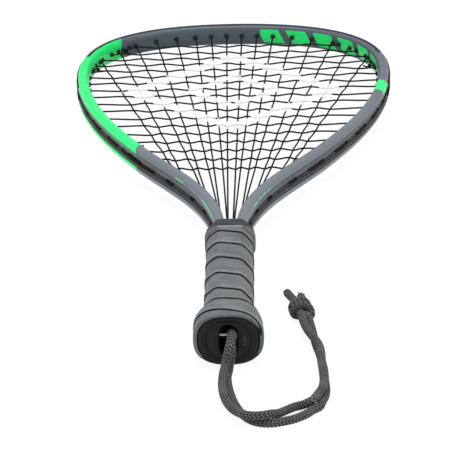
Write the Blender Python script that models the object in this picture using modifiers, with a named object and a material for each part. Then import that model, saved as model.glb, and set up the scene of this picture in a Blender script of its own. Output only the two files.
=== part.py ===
# Racquetball racket: moulded teardrop frame, woven string bed, wrapped handle and wrist cord.
# Every length is in millimetres, measured in the racket's own axes: x across, y from the butt to the
# head tip, z up from the string plane. Meshes are written in metres under one parent empty.
import bpy
import bmesh
from math import ceil, cos, pi, radians, sin, tan
from mathutils import Vector

metres_per_mm = 0.001
clearance = 0.3

# Frame outline and tube
overall_length = 558.8
head_width = 247.6
handle_length = 143.6
widest_share = 0.75716
flank_share = 0.38109
flank_width_share = 0.28433
flank_lean = radians(28.3)
leg_spacing = 12.6
leg_end_at = 19.5
mouth_setback = 3.6
growth_setoff = 6.4
throat_setoff = 46.4
tube_thickness = 10.0
leg_thickness = 7.4
leg_height = 16.5
throat_height = 21.0
tip_height = 17.0
section_power = 3.0

# Channel, grommets and bumper
channel_depth = 3.4
channel_width = 7.0
strip_thickness = 0.7
bumper_thickness = 1.5
bumper_end_share = 0.67693
bumper_share = 0.72
strip_setoff = 33.4
bumper_rings = 15
leg_rings = 15
barrel_diameter = 3.0
barrel_wall = 0.5
barrel_lip = 0.8

# String bed: shares of the head's length above the mouth, or of its width for the spread of the mains
string_diameter = 1.3
mains_per_side = 8
crosses = 18
top_shares = (0.02524, 0.07653, 0.12843, 0.19184, 0.25788, 0.32553, 0.38045, 0.43659)
main_wave_share = 0.3
second_cross_share = 0.88515
pitch_share = 0.029728
pitch_growth_share = 0.00074021
first_cross_share = 0.0351
seat_shares = {3: 0.14064, 4: 0.15139, 5: 0.19699, 6: 0.20797, 7: 0.26624, 8: 0.28415}
side_tie_share = 0.80611
top_tie_gap = 3.5
low_tie_share = 0.42383
tie_knot_diameter = 3.6
bridge_setoff = 8.4
bridge_depth = 14.0
bridge_pair = 3.4

# Handle
grip_width = 32.4
grip_height = 27.8
grip_flat = 17.0
flare_width = 45.2
flare_height = 37.6
flare_power = 2.5
flare_start = 27.0
flare_length = 29.0
tape_thickness = 1.9
tape_pitch = 21.8
tape_first_edge = 2.8
tape_gap = 0.5
tape_rim = 0.8
pallet_overlap = 6.0
pallet_corner = 2.0

# Collar
collar_width = 34.8
collar_height = 29.4
collar_lip = 0.94
collar_rim_height = 25.6
collar_length = 28.4
collar_dip = 16.0
collar_ridge = 0.5
collar_ridge_width = 4.4
collar_bevel = 3.5

# Butt cap and pin
cap_floor_at = 18.6
cap_skirt_end = 47.0
cap_round = 1.2
slot_width = 11.6
slot_height = 21.6
ring_diameter = 27.5
ring_groove = 0.7
pin_diameter = 2.8
pin_at = 8.8
staple_at = 39.0
staple_span = 9.0
staple_wire = 1.0
staple_leg = 3.4

# Wrist cord: the two strands from the loop round the pin to the knot, hand laid
cord_diameter = 5.5
strand_a = [(2.5, 4, 4.5), (2.3, -3.2, 4.1), (1.7, -7, 2.5), (0, -12.2, -2.2), (-1.7, -15.6, -8.3),
            (-2.6, -19, -10.6), (-3.4, -28, -11.4), (-3.7, -36.7, -12.2), (-2.6, -48.2, -13.3),
            (-1.1, -55.3, -13.5), (3.7, -67.7, -13), (10.5, -76.6, -11.7), (18.5, -80.1, -10.5),
            (26.4, -76.4, -11.2), (36, -63.5, -15.2), (45.5, -56.3, -15.8), (52.4, -54.7, -12.9),
            (57.6, -47.7, -10.6), (59.6, -35.2, -10.4), (59.3, -21.8, -10.5), (58.5, 2.7, -10.5),
            (56.8, 15.3, -10.4), (51.9, 29.8, -10.4), (49.4, 40.1, -10.8), (46.6, 55.4, -11)]
strand_b = [(1.9, 0.6, -4.9), (1.7, -3, -6.4), (1.2, -6.3, -9.4), (0.5, -8.8, -12.8),
            (-0.1, -12.4, -15.2), (-0.8, -18.4, -15.9), (-0.7, -24.4, -15.9), (0.7, -37.9, -15.9),
            (4.1, -54.6, -15.9), (9.5, -69.1, -15.9), (17.2, -77.6, -15.9), (27.5, -79.3, -15.9),
            (40.9, -75, -15.9), (52.3, -65.2, -15.9), (58.2, -52.6, -15.9), (60.7, -39.4, -15.9),
            (60.4, -26.8, -15.9), (59.1, -0.2, -15.9), (56.4, 20.6, -15.9), (54.7, 35.2, -15.9),
            (52.9, 48.3, -14.2), (52.3, 55.7, -12.9)]
knot_at = (47.4, 65.8, -11.8)
knot_size = (16.5, 20.0, 14.0)
long_tail = [(43.6, 73.5, -11.6), (41.2, 87.0, -13.4), (37.8, 101.2, -15.9)]
short_tail = [(48.2, 72.5, -10.6), (46.9, 83.0, -9.6)]
cord_step = 15.0

corner_count = 16

# Places that follow from the sizes
mouth_at = handle_length - mouth_setback
head_length = overall_length - mouth_at
growth_at = handle_length + growth_setoff
throat_at = handle_length + throat_setoff
bridge_start = handle_length + bridge_setoff
bridge_end = bridge_start + bridge_depth
collar_end_at = handle_length + collar_length


def remove_everything():
    for item in list(bpy.data.objects):
        bpy.data.objects.remove(item)
    for block in (bpy.data.collections, bpy.data.meshes, bpy.data.curves, bpy.data.materials):
        for item in list(block):
            block.remove(item)


def material(name, colour, roughness, metallic=0.0):
    made = bpy.data.materials.new(name)
    made.use_nodes = True
    surface = made.node_tree.nodes["Principled BSDF"]
    surface.inputs["Base Color"].default_value = (*colour, 1.0)
    surface.inputs["Roughness"].default_value = roughness
    surface.inputs["Metallic"].default_value = metallic
    return made


def smoothstep(value):
    share = min(max(value, 0.0), 1.0)
    return share * share * (3 - 2 * share)


def mix(first, second, share):
    return first + (second - first) * share


# Building helpers


def new_object(name, mesh, look, parent, folder):
    made = bpy.data.objects.new(name, mesh)
    folder.objects.link(made)
    made.parent = parent
    if look:
        mesh.materials.append(look)
        mesh.shade_smooth()
        mesh.set_sharp_from_angle(angle=radians(32))
    return made


def loft_mesh(name, rings, closed=False, capped=True):
    """Join rings of equal counts by quads, with flat end caps or the last ring joined to the first."""
    shape = bmesh.new()
    rows = [[shape.verts.new(Vector(point) * metres_per_mm) for point in ring] for ring in rings]
    pairs = list(zip(rows, rows[1:]))
    if closed:
        pairs.append((rows[-1], rows[0]))
    for lower, upper in pairs:
        for index in range(len(lower)):
            after = (index + 1) % len(lower)
            shape.faces.new((lower[index], lower[after], upper[after], upper[index]))
    if capped and not closed:
        shape.faces.new(rows[0])
        shape.faces.new(rows[-1])
    bmesh.ops.recalc_face_normals(shape, faces=shape.faces)
    mesh = bpy.data.meshes.new(name)
    shape.to_mesh(mesh)
    shape.free()
    return mesh


def join_meshes(name, meshes):
    shape = bmesh.new()
    for mesh in meshes:
        shape.from_mesh(mesh)
        bpy.data.meshes.remove(mesh)
    joined = bpy.data.meshes.new(name)
    shape.to_mesh(joined)
    shape.free()
    return joined


def rod_mesh(name, start, end, radius, sides=5, turn=0.0):
    """A capped cylinder from one point to another."""
    axis = (Vector(end) - Vector(start)).normalized()
    side = axis.cross(Vector((0, 0, 1)))
    if side.length < 0.01:
        side = Vector((1, 0, 0))
    side.normalize()
    up = side.cross(axis)
    rings = []
    for centre in (Vector(start), Vector(end)):
        angles = [turn + 2 * pi * step / sides for step in range(sides)]
        rings.append([centre + (side * cos(angle) + up * sin(angle)) * radius for angle in angles])
    return loft_mesh(name, rings)


def boolean(target, cutter, operation, crossing=False):
    change = target.modifiers.new(operation.title(), "BOOLEAN")
    change.operation = operation
    change.object = cutter
    change.solver = "EXACT"
    change.use_self = crossing


def cutter_object(name, mesh, parent, folder):
    cutter = new_object(name, mesh, None, parent, folder)
    cutter.hide_render = True
    cutter.display_type = "WIRE"
    return cutter


def tube_curve(name, points, diameter, resolution, look, parent, folder):
    curve = bpy.data.curves.new(name, "CURVE")
    curve.dimensions = "3D"
    curve.bevel_depth = diameter / 2 * metres_per_mm
    curve.bevel_resolution = resolution
    curve.use_fill_caps = True
    spline = curve.splines.new("POLY")
    spline.points.add(len(points) - 1)
    for slot, point in zip(spline.points, points):
        slot.co = (*(Vector(point) * metres_per_mm), 1)
    curve.materials.append(look)
    made = bpy.data.objects.new(name, curve)
    folder.objects.link(made)
    made.parent = parent
    return made


# Frame centreline


def level_of(share):
    """A place along the racket at a share of the head's length above the mouth of the legs."""
    return mouth_at + head_length * share


def bezier(start, leave, arrive, end, steps):
    points = []
    for step in range(1, steps + 1):
        t = step / steps
        s = 1 - t
        points.append(start * s ** 3 + leave * 3 * s * s * t + arrive * 3 * s * t * t + end * t ** 3)
    return points


def half_centreline():
    """Points of the tube's centreline from the end of the right leg up to the tip."""
    mouth = Vector((leg_spacing / 2, mouth_at))
    flank = Vector((head_width * flank_width_share, level_of(flank_share)))
    widest = Vector(((head_width - tube_thickness) / 2, level_of(widest_share)))
    tip = Vector((0, overall_length - tube_thickness / 2))
    up = Vector((0, 1))
    lean = Vector((sin(flank_lean), cos(flank_lean)))
    first = (flank - mouth).length
    second = (widest - flank).length
    third = (tip - widest).length
    points = [Vector((leg_spacing / 2, leg_end_at)), mouth]
    points += bezier(mouth, mouth + up * first * 0.45, flank - lean * first * 0.34, flank, 60)
    points += bezier(flank, flank + lean * second * 0.15, widest - up * second * 0.434, widest, 60)
    points += bezier(widest, widest + up * third * 0.458, tip + Vector((third * 0.456, 0)), tip, 110)
    return points


class Station:
    """A place on the centreline: its point, its direction towards the tip and its outward normal."""

    def __init__(self, point, along, side=1):
        self.point = Vector((point.x * side, point.y))
        self.along = Vector((along.x * side, along.y))
        self.outward = Vector((along.y * side, -along.x))

    def at(self, reach, height=0.0):
        place = self.point + self.outward * reach
        return Vector((place.x, place.y, height))


class Centreline:
    """The right half of the centreline, measured from the tip down to the leg's end."""

    def __init__(self):
        self.points = list(reversed(half_centreline()))
        self.lengths = [0.0]
        for before, after in zip(self.points, self.points[1:]):
            self.lengths.append(self.lengths[-1] + (after - before).length)

    def station(self, distance, side=1):
        index = 1
        while index < len(self.points) - 1 and self.lengths[index] < distance:
            index += 1
        span = self.lengths[index] - self.lengths[index - 1]
        share = (distance - self.lengths[index - 1]) / span
        point = self.points[index - 1].lerp(self.points[index], share)
        along = self.direction(index - 1).lerp(self.direction(index), share)
        return Station(point, along.normalized(), side)

    def direction(self, index):
        before = self.points[max(index - 1, 0)]
        after = self.points[min(index + 1, len(self.points) - 1)]
        if index == 0:
            return Vector((-1, 0))
        return (before - after).normalized()

    def find(self, axis, value):
        """Distance from the tip to where the inner wall reaches a value of x (axis 0) or y (axis 1)."""
        last = None
        for index, point in enumerate(self.points):
            along = self.direction(index)
            wall = point - Vector((along.y, -along.x)) * half_thickness(point.y)
            gap = (wall[axis] - value) * (1 if axis == 0 else -1)
            if last is not None and gap >= 0 > last[1]:
                share = last[1] / (last[1] - gap)
                return mix(last[0], self.lengths[index], share)
            last = (self.lengths[index], gap)
        raise ValueError("the frame never reaches this value")


def throat_share(y):
    """How far the tube has grown from the leg's size at the handle to its full size in the throat."""
    return smoothstep((y - growth_at) / (throat_at - growth_at))


def half_thickness(y):
    return mix(leg_thickness, tube_thickness, throat_share(y)) / 2


def half_height(y):
    if y < throat_at:
        return mix(leg_height, throat_height, throat_share(y)) / 2
    return mix(throat_height, tip_height, (y - throat_at) / (overall_length - throat_at)) / 2


def bulge(thickness, share):
    """Half width of the tube's section at a share of its half height."""
    return thickness * (1 - abs(share) ** section_power) ** (1 / section_power)


def frame_section(station, recess):
    inner = half_thickness(station.point.y)
    outer = inner - recess
    height = half_height(station.point.y)
    edge = channel_width / 2
    floor = inner - channel_depth
    outline = [(floor, edge), (bulge(outer, edge / height), edge), (bulge(outer, 0.78), 0.78 * height)]
    outline += [(0, height), (-bulge(inner, 0.8), 0.8 * height), (-inner, 0.36 * height)]
    mirrored = [(reach, -level) for reach, level in reversed(outline)]
    return [station.at(reach, level) for reach, level in outline + mirrored]


# String pattern


def main_top(number):
    return head_width * top_shares[number - 1]


def cross_level(number):
    if number == 1:
        return level_of(second_cross_share + first_cross_share)
    steps = number - 2
    return level_of(second_cross_share - pitch_share * steps - pitch_growth_share * steps * (steps - 1) / 2)


class Pattern:
    """Where each string passes through the tube, as distances from the tip along the centreline."""

    def __init__(self, line):
        self.line = line
        self.top = {k: line.find(0, main_top(k)) for k in range(1, mains_per_side + 1)}
        self.bottom = {k: line.find(1, level_of(share)) for k, share in seat_shares.items()}
        self.cross = {k: line.find(1, cross_level(k)) for k in range(1, crosses + 1)}
        self.side_tie = line.find(1, level_of(side_tie_share))
        self.top_tie = line.find(0, main_top(mains_per_side - 1) - top_tie_gap)
        self.low_tie = line.find(1, level_of(low_tie_share))
        self.step = line.find(1, level_of(bumper_end_share))
        self.stops = self.ring_stops()

    def ring_stops(self):
        """Distances of the rings that the frame, the bumper and the strips share."""
        total = self.line.lengths[-1]
        straight = mouth_at - leg_end_at
        pallet_end = total - straight - (handle_length + pallet_overlap - mouth_at)
        stops = [self.step * count / bumper_rings for count in range(bumper_rings)]
        span = pallet_end - self.step
        stops += [self.step + span * count / leg_rings for count in range(1, leg_rings + 1)]
        return stops + [total - straight, total]

    def stops_between(self, start, end):
        return [start] + [stop for stop in self.stops if start + 2 < stop < end - 2] + [end]

    def holes(self, side):
        distances = list(self.top.values()) + list(self.bottom.values()) + list(self.cross.values())
        distances.append(self.side_tie)
        if side < 0:
            distances += [self.top_tie, self.low_tie]
        return distances

    def mouth(self, distance, side, reach):
        """The point on a hole's axis at a reach inside the inner wall."""
        station = self.line.station(distance, side)
        return station.at(-half_thickness(station.point.y) - reach)


def run_reach(station):
    floor = half_thickness(station.point.y) - channel_depth
    return floor + clearance + strip_thickness + 0.85 + string_diameter / 2


def channel_run(pattern, start, end, side, lane, stops):
    """Points of the string in the channel between two holes, in a lane above or below the middle."""
    points = [pattern.line.station(start, side)]
    shares = [0.26 + 0.48 * step / (stops - 1) for step in range(stops)] if stops > 1 else []
    levels = [0.0] + [lane] * len(shares) + [0.0]
    points += [pattern.line.station(mix(start, end, share), side) for share in shares]
    points.append(pattern.line.station(end, side))
    return [station.at(run_reach(station), level) for station, level in zip(points, levels)]


def main_ends(pattern, side, number):
    bend = barrel_lip + string_diameter
    top = pattern.mouth(pattern.top[number], side, bend)
    if number in pattern.bottom:
        return top, pattern.mouth(pattern.bottom[number], side, bend)
    level = bridge_pair / 2 * (1 if number == 1 else -1)
    return top, Vector((side * bridge_pair / 2, bridge_end + string_diameter, level))


def crossing_height(side, number, cross):
    """Height of a main string at a cross, which passes it on the other side."""
    column = mains_per_side - number if side < 0 else mains_per_side + number - 1
    rise = (string_diameter + clearance) * main_wave_share
    return rise if (column + cross) % 2 == 0 else -rise


def main_crossings(pattern, side, number):
    """The crossings of one main string, from the top of the bed down."""
    top, bottom = main_ends(pattern, side, number)
    found = []
    for cross in range(1, crosses + 1):
        level = cross_level(cross)
        if bottom.y + 2 < level < top.y - 1.5:
            share = (level - bottom.y) / (top.y - bottom.y)
            x = mix(bottom.x, top.x, share)
            found.append((cross, Vector((x, level, crossing_height(side, number, cross)))))
    return found


def main_string_points(pattern):
    """One string for all the mains, from its knot on the left to its knot on the right."""
    order = [(-1, k) for k in range(mains_per_side, 0, -1)] + [(1, k) for k in range(1, mains_per_side + 1)]
    lane = string_diameter + clearance + 0.05
    last = mains_per_side
    points = [pattern.mouth(pattern.side_tie, -1, barrel_lip + tie_knot_diameter / 4)]
    points += channel_run(pattern, pattern.side_tie, pattern.top[last], -1, lane, 2)
    for index, (side, number) in enumerate(order):
        top, bottom = main_ends(pattern, side, number)
        strand = [top] + [point for cross, point in main_crossings(pattern, side, number)] + [bottom]
        going_down = index % 2 == 0
        points += strand if going_down else strand[::-1]
        if index + 1 == len(order):
            break
        next_side, next_number = order[index + 1]
        if going_down and number in pattern.bottom:
            holes = pattern.bottom
            points += channel_run(pattern, holes[number], holes[next_number], side, 0, 0)
        elif going_down:
            points += bridge_loop(side, 1 if number == 1 else -1)
        elif side != next_side:
            points += tip_run(pattern)
        else:
            start, end = pattern.top[number], pattern.top[next_number]
            near, far = min(start, end), max(start, end)
            shared = any(near < hole < far for hole in pattern.cross.values())
            points += channel_run(pattern, start, end, side, lane, 2 if shared else 0)
    points += channel_run(pattern, pattern.top[last], pattern.side_tie, 1, lane, 2)
    points.append(pattern.mouth(pattern.side_tie, 1, barrel_lip + tie_knot_diameter / 4))
    return points


def tip_run(pattern):
    """The main string's run over the tip, from the left half to the right."""
    points = []
    for side in (-1, 1):
        station = pattern.line.station(pattern.top[1], side)
        points.append(station.at(run_reach(station)))
    return points


def bridge_loop(side, first):
    """The turn of a pair of mains round the bridge between the legs."""
    x = side * bridge_pair / 2
    drop = string_diameter / 2 + clearance
    level = bridge_pair / 2
    return [Vector((x, bridge_start - drop, first * turn * level)) for turn in (1, -1)]


def cross_string_points(pattern):
    """One string for all the crosses, from its knot at the top left to its knot on the left leg."""
    lane = -(string_diameter + clearance + 0.05)
    bend = barrel_lip + string_diameter
    rise = 1 / main_wave_share - 1
    points = [pattern.mouth(pattern.top_tie, -1, barrel_lip + tie_knot_diameter / 4)]
    points += channel_run(pattern, pattern.top_tie, pattern.cross[1], -1, lane, 2)
    for cross in range(1, crosses + 1):
        side = -1 if cross % 2 else 1
        points.append(pattern.mouth(pattern.cross[cross], side, bend))
        met = []
        for near in (-1, 1):
            for number in range(1, mains_per_side + 1):
                met += [point for k, point in main_crossings(pattern, near, number) if k == cross]
        met.sort(key=lambda point: point.x * -side)
        points += [Vector((point.x, point.y, -point.z * rise)) for point in met]
        points.append(pattern.mouth(pattern.cross[cross], -side, bend))
        if cross < crosses:
            start, end = pattern.cross[cross], pattern.cross[cross + 1]
            others = list(pattern.top.values()) + [pattern.side_tie]
            shared = any(start < hole < end for hole in others)
            points += channel_run(pattern, start, end, -side, lane, 2 if shared else 0)
    points += channel_run(pattern, pattern.cross[crosses], pattern.low_tie, -1, lane, 4)
    points.append(pattern.mouth(pattern.low_tie, -1, barrel_lip + tie_knot_diameter / 4))
    return points


# Frame, bumper and grommets


def hole_rods(pattern, side, distances, radius, inside, outside, sides=5):
    rods = []
    for distance in distances:
        station = pattern.line.station(distance, side)
        wall = half_thickness(station.point.y)
        start = station.at(-wall - inside)
        end = station.at(wall - channel_depth + outside)
        rods.append(rod_mesh("rod", start, end, radius, sides))
    return rods


def make_frame(pattern, kit):
    """The moulded tube: half of it swept along the centreline and mirrored, then drilled for grommets."""
    rings = []
    edges = [pattern.step - clearance, pattern.step + clearance]
    for distance in sorted(pattern.stops + edges, reverse=True):
        recess = bumper_thickness + clearance if distance < pattern.step else 0.0
        rings.append(frame_section(pattern.line.station(distance), recess))
    mesh = loft_mesh("frame", rings, capped=False)
    close_first_ring(mesh, len(rings[0]))
    paint = kit.look("frame_paint", (0.24, 0.31, 0.37), 0.34, 0.25)
    frame = new_object("frame", mesh, paint, kit.parent, kit.parts)
    mirror = frame.modifiers.new("Mirror", "MIRROR")
    mirror.merge_threshold = 0.00005
    rods = []
    for side in (-1, 1):
        radius = barrel_diameter / 2 + clearance
        rods += hole_rods(pattern, side, pattern.holes(side), radius, 3, 3)
    drill = cutter_object("grommet_drill", join_meshes("grommet_drill", rods), kit.parent, kit.cutters)
    boolean(frame, drill, "DIFFERENCE", crossing=True)
    return frame


def close_first_ring(mesh, count):
    """Cap the leg's end and leave the tip open at the mirror plane."""
    shape = bmesh.new()
    shape.from_mesh(mesh)
    shape.verts.ensure_lookup_table()
    shape.faces.new([shape.verts[index] for index in range(count)])
    bmesh.ops.recalc_face_normals(shape, faces=shape.faces)
    for vert in shape.verts:
        if abs(vert.co.x) < 1e-7:
            vert.co.x = 0.0
    shape.to_mesh(mesh)
    shape.free()


def add_barrels(strip, pattern, sides_and_holes, kit):
    """Fuse the grommet barrels to a strip and bore them for the string."""
    outer = []
    inner = []
    for side, holes in sides_and_holes:
        radius = barrel_diameter / 2
        outer += hole_rods(pattern, side, holes, radius, barrel_lip, clearance + strip_thickness / 2)
        inner += hole_rods(pattern, side, holes, radius - barrel_wall, barrel_lip + 2, 4, 4)
    barrels = cutter_object(strip.name + "_barrels", join_meshes("barrels", outer), kit.parent, kit.cutters)
    bores = cutter_object(strip.name + "_bores", join_meshes("bores", inner), kit.parent, kit.cutters)
    boolean(strip, barrels, "UNION", crossing=True)
    boolean(strip, bores, "DIFFERENCE", crossing=True)


def bumper_section(station):
    wall = half_thickness(station.point.y)
    height = half_height(station.point.y)
    lip = bumper_share * height
    inner = wall - bumper_thickness - clearance
    groove = channel_width / 2 - clearance - 0.6
    base = wall - channel_depth + clearance
    edge = channel_width / 2 - clearance
    outline = [(base + strip_thickness, groove), (bulge(wall, groove / height), groove)]
    outline.append((bulge(wall, 0.55), 0.55 * height))
    outline.append((bulge(wall, bumper_share) + clearance, lip + clearance))
    outline.append((bulge(inner, bumper_share) + clearance, lip))
    outline += [(bulge(inner, edge / height) + clearance, edge), (base, edge)]
    mirrored = [(reach, -level) for reach, level in reversed(outline)]
    return [station.at(reach, level) for reach, level in outline + mirrored]


def make_bumper(pattern, kit):
    """The bumper guard over the tip, with its string groove and the grommets of the upper holes."""
    end = pattern.step - clearance * 2
    stops = pattern.stops_between(0.0, end)
    rings = [bumper_section(pattern.line.station(stop, -1)) for stop in reversed(stops[1:])]
    rings += [bumper_section(pattern.line.station(stop, 1)) for stop in stops]
    mesh = loft_mesh("bumper_guard", rings)
    look = kit.look("bumper_plastic", (0.02, 0.024, 0.035), 0.45)
    bumper = new_object("bumper_guard", mesh, look, kit.parent, kit.parts)
    holes = [(side, [d for d in pattern.holes(side) if d < end]) for side in (-1, 1)]
    add_barrels(bumper, pattern, holes, kit)


def make_strip(pattern, side, kit):
    """The grommet strip in the channel of one leg."""
    start = pattern.step + clearance
    rings = []
    for stop in pattern.stops_between(start, pattern.line.find(1, handle_length + strip_setoff)):
        station = pattern.line.station(stop, side)
        base = half_thickness(station.point.y) - channel_depth + clearance
        edge = channel_width / 2 - clearance
        face = base + strip_thickness
        outline = [(base, -edge), (base, edge), (face, edge), (face, -edge)]
        rings.append([station.at(reach, level) for reach, level in outline])
    name = "grommet_strip_" + ("left" if side < 0 else "right")
    look = kit.look("grommet_nylon", (0.05, 0.052, 0.06), 0.5)
    strip = new_object(name, loft_mesh(name, rings), look, kit.parent, kit.parts)
    add_barrels(strip, pattern, [(side, [d for d in pattern.holes(side) if d > start])], kit)


def make_bridge(pattern, kit):
    """The moulded bridge between the legs that the middle four mains turn round."""
    narrow = min(inner_wall_at(pattern, y) for y in (bridge_start, bridge_end)) - clearance
    height = leg_height / 2 - 1
    outline = [(-narrow, -height), (narrow, -height), (narrow, height), (-narrow, height)]
    rings = [[(x, y, z) for x, z in outline] for y in (bridge_start, bridge_end)]
    look = kit.look("grommet_nylon", (0.05, 0.052, 0.06), 0.5)
    bridge = new_object("throat_bridge", loft_mesh("throat_bridge", rings), look, kit.parent, kit.parts)
    bores = []
    for x in (-bridge_pair / 2, bridge_pair / 2):
        for z in (-bridge_pair / 2, bridge_pair / 2):
            start = (x, bridge_start - 2, z)
            bores.append(rod_mesh("bore", start, (x, bridge_end + 2, z), string_diameter / 2 + clearance, 8))
    cutter = cutter_object("bridge_bores", join_meshes("bridge_bores", bores), kit.parent, kit.cutters)
    boolean(bridge, cutter, "DIFFERENCE")


def inner_wall_at(pattern, y):
    station = station_at_level(pattern, y)
    return station.point.x - half_thickness(y)


def outer_wall_at(pattern, y):
    station = station_at_level(pattern, y)
    return station.point.x + half_thickness(y)


def station_at_level(pattern, y):
    low, high = 0.0, pattern.line.lengths[-1]
    for step in range(40):
        middle = (low + high) / 2
        if pattern.line.station(middle).point.y > y:
            low = middle
        else:
            high = middle
    return pattern.line.station(low)


def make_tie_knots(pattern, kit):
    """The four knots that end the strings, seated at the mouths of their grommets."""
    look = kit.look("string_polymer", (0.012, 0.012, 0.014), 0.35)
    places = [(pattern.side_tie, -1), (pattern.side_tie, 1), (pattern.top_tie, -1), (pattern.low_tie, -1)]
    radius = tie_knot_diameter / 2
    reach = barrel_lip + radius * 1.5 + clearance
    for number, (distance, side) in enumerate(places, 1):
        centre = pattern.mouth(distance, side, reach)
        shape = bmesh.new()
        bmesh.ops.create_uvsphere(shape, u_segments=6, v_segments=4, radius=radius * metres_per_mm)
        mesh = bpy.data.meshes.new("tie_off_knot")
        shape.to_mesh(mesh)
        shape.free()
        knot = new_object("tie_off_knot_%d" % number, mesh, look, kit.parent, kit.parts)
        knot.location = centre * metres_per_mm


# Handle


def octagon_ring(width, height, flat, y, offset=0.0):
    """Sixteen points of an eight-sided section, corners and middles of sides in turn."""
    half_w, half_h = width / 2 + offset, height / 2 + offset
    top = flat / 2 + offset * tan(pi / 8)
    side = height / 2 - (width - flat) / 2 + offset * tan(pi / 8)
    corners = [(half_w, side), (top, half_h), (-top, half_h), (-half_w, side)]
    corners += [(-x, -z) for x, z in corners]
    ring = []
    for index, corner in enumerate(corners):
        before = corners[index - 1]
        ring.append(((corner[0] + before[0]) / 2, y, (corner[1] + before[1]) / 2))
        ring.append((corner[0], y, corner[1]))
    return ring


def power_ring(width, height, power, y, guide, offset=0.0):
    """Points of a rounded section at the angles of a guide ring."""
    ring = []
    for x, _, z in guide:
        across = (abs(x) / (width / 2 + offset)) ** power
        upright = (abs(z) / (height / 2 + offset)) ** power
        reach = (across + upright) ** (-1 / power)
        ring.append((x * reach, y, z * reach))
    return ring


def handle_ring(y, offset=0.0):
    """The outer surface of the wrapped handle, from the round flare at the butt to the octagon grip."""
    eight = octagon_ring(grip_width, grip_height, grip_flat, y, offset)
    plain = octagon_ring(grip_width, grip_height, grip_flat, y)
    flare = power_ring(flare_width, flare_height, flare_power, y, plain, offset)
    share = smoothstep((y - flare_start) / flare_length)
    return [tuple(mix(a, b, share) for a, b in zip(*pair)) for pair in zip(flare, eight)]


def make_pallets(pattern, kit):
    """The two moulded halves that build the legs up to the size of the grip."""
    end = handle_length + pallet_overlap
    outer_leg = outer_wall_at(pattern, end) + clearance * 1.5
    leg_top = leg_height / 2 + clearance
    inset = -tape_thickness - clearance
    ring = octagon_ring(grip_width, grip_height, grip_flat, 0, inset)
    corners = [(x, z) for x, _, z in ring[1::2]]
    look = kit.look("pallet_foam", (0.09, 0.09, 0.095), 0.7)
    for name, side in (("handle_pallet_top", 1), ("handle_pallet_bottom", -1)):
        split = clearance / 2
        outline = [(corners[0][0], split)] + corners[:4] + [(-corners[0][0], split)]
        inner = [(outer_leg, split), (outer_leg, leg_top - pallet_corner)]
        inner.append((outer_leg - pallet_corner, leg_top))
        outline += [(-x, z) for x, z in inner] + inner[::-1]
        rings = [[(x, y, z * side) for x, z in outline] for y in (cap_floor_at + clearance, end)]
        pallet = new_object(name, loft_mesh(name, rings), look, kit.parent, kit.parts)
        boolean(pallet, kit.staple_slots, "DIFFERENCE")


def make_staples(kit):
    """A wire staple above and below, driven through the cap's skirt into the pallets."""
    look = kit.look("staple_steel", (0.6, 0.6, 0.62), 0.3, 1.0)
    for name, side in (("cap_staple_top", 1), ("cap_staple_bottom", -1)):
        mesh = staple_mesh(side, 0.0)
        new_object(name, mesh, look, kit.parent, kit.parts)


def staple_mesh(side, grow):
    """A U of square wire: its outline in the plane of the legs, given the wire's thickness along y."""
    crown = cap_surface_height(staple_at) - clearance + grow
    depth = crown - staple_leg - grow * 2
    half = staple_span / 2 + grow
    wire = staple_wire / 2 + grow * 2
    outline = [(-half, depth), (-half, crown), (half, crown), (half, depth)]
    outline += [(half - wire, depth), (half - wire, crown - wire)]
    outline += [(-half + wire, crown - wire), (-half + wire, depth)]
    rings = []
    for y in (staple_at - staple_wire / 2 - grow, staple_at + staple_wire / 2 + grow):
        rings.append([(x, y, z * side) for x, z in outline])
    return loft_mesh("staple", rings)


def cap_surface_height(y):
    """Height of the cap's top surface under the tape."""
    ring = handle_ring(y, -tape_thickness - clearance)
    return max(z for _, _, z in ring)


def make_cap(kit):
    """The flared butt cap: a solid end with the cord slot, and a skirt over the pallets."""
    inset = -tape_thickness - clearance * 1.6
    levels = [cap_round, 12, 24, 30, 35, 40, cap_skirt_end]
    rings = [handle_ring(0, inset - cap_round)]
    rings += [handle_ring(y, inset) for y in levels]
    pallet = octagon_ring(grip_width, grip_height, grip_flat, 0, -tape_thickness)
    rings += [[(x, y, z) for x, _, z in pallet] for y in (cap_skirt_end, cap_floor_at)]
    look = kit.look("cap_plastic", (0.018, 0.02, 0.024), 0.42)
    cap = new_object("butt_cap", loft_mesh("butt_cap", rings), look, kit.parent, kit.parts)
    boolean(cap, slot_cutter(kit), "DIFFERENCE")
    boolean(cap, ring_cutter(kit), "DIFFERENCE")
    reach = flare_width / 2
    bore = rod_mesh("pin_bore", (-reach, pin_at, 0), (reach, pin_at, 0), pin_diameter / 2 + clearance, 8)
    boolean(cap, cutter_object("pin_bore", bore, kit.parent, kit.cutters), "DIFFERENCE")
    boolean(cap, kit.staple_slots, "DIFFERENCE")


def slot_cutter(kit):
    radius = slot_width / 2
    straight = slot_height / 2 - radius
    outline = []
    for end in (1, -1):
        for step in range(7):
            angle = pi * step / 6
            outline.append((end * radius * cos(angle), end * (straight + radius * sin(angle))))
    rings = [[(x, y, z) for x, z in outline] for y in (-3, cap_floor_at + 3)]
    return cutter_object("cord_slot", loft_mesh("cord_slot", rings), kit.parent, kit.cutters)


def ring_cutter(kit):
    """A shallow round groove in the end face."""
    rings = []
    steps = 20
    for step in range(steps):
        angle = 2 * pi * step / steps
        section = [(ring_diameter / 2, ring_groove / 2), (ring_diameter / 2 + ring_groove, -ring_groove),
                   (ring_diameter / 2 - ring_groove, -ring_groove)]
        rings.append([(reach * cos(angle), y, reach * sin(angle)) for reach, y in section])
    mesh = loft_mesh("ring_line", rings, closed=True)
    return cutter_object("ring_line", mesh, kit.parent, kit.cutters)


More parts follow.
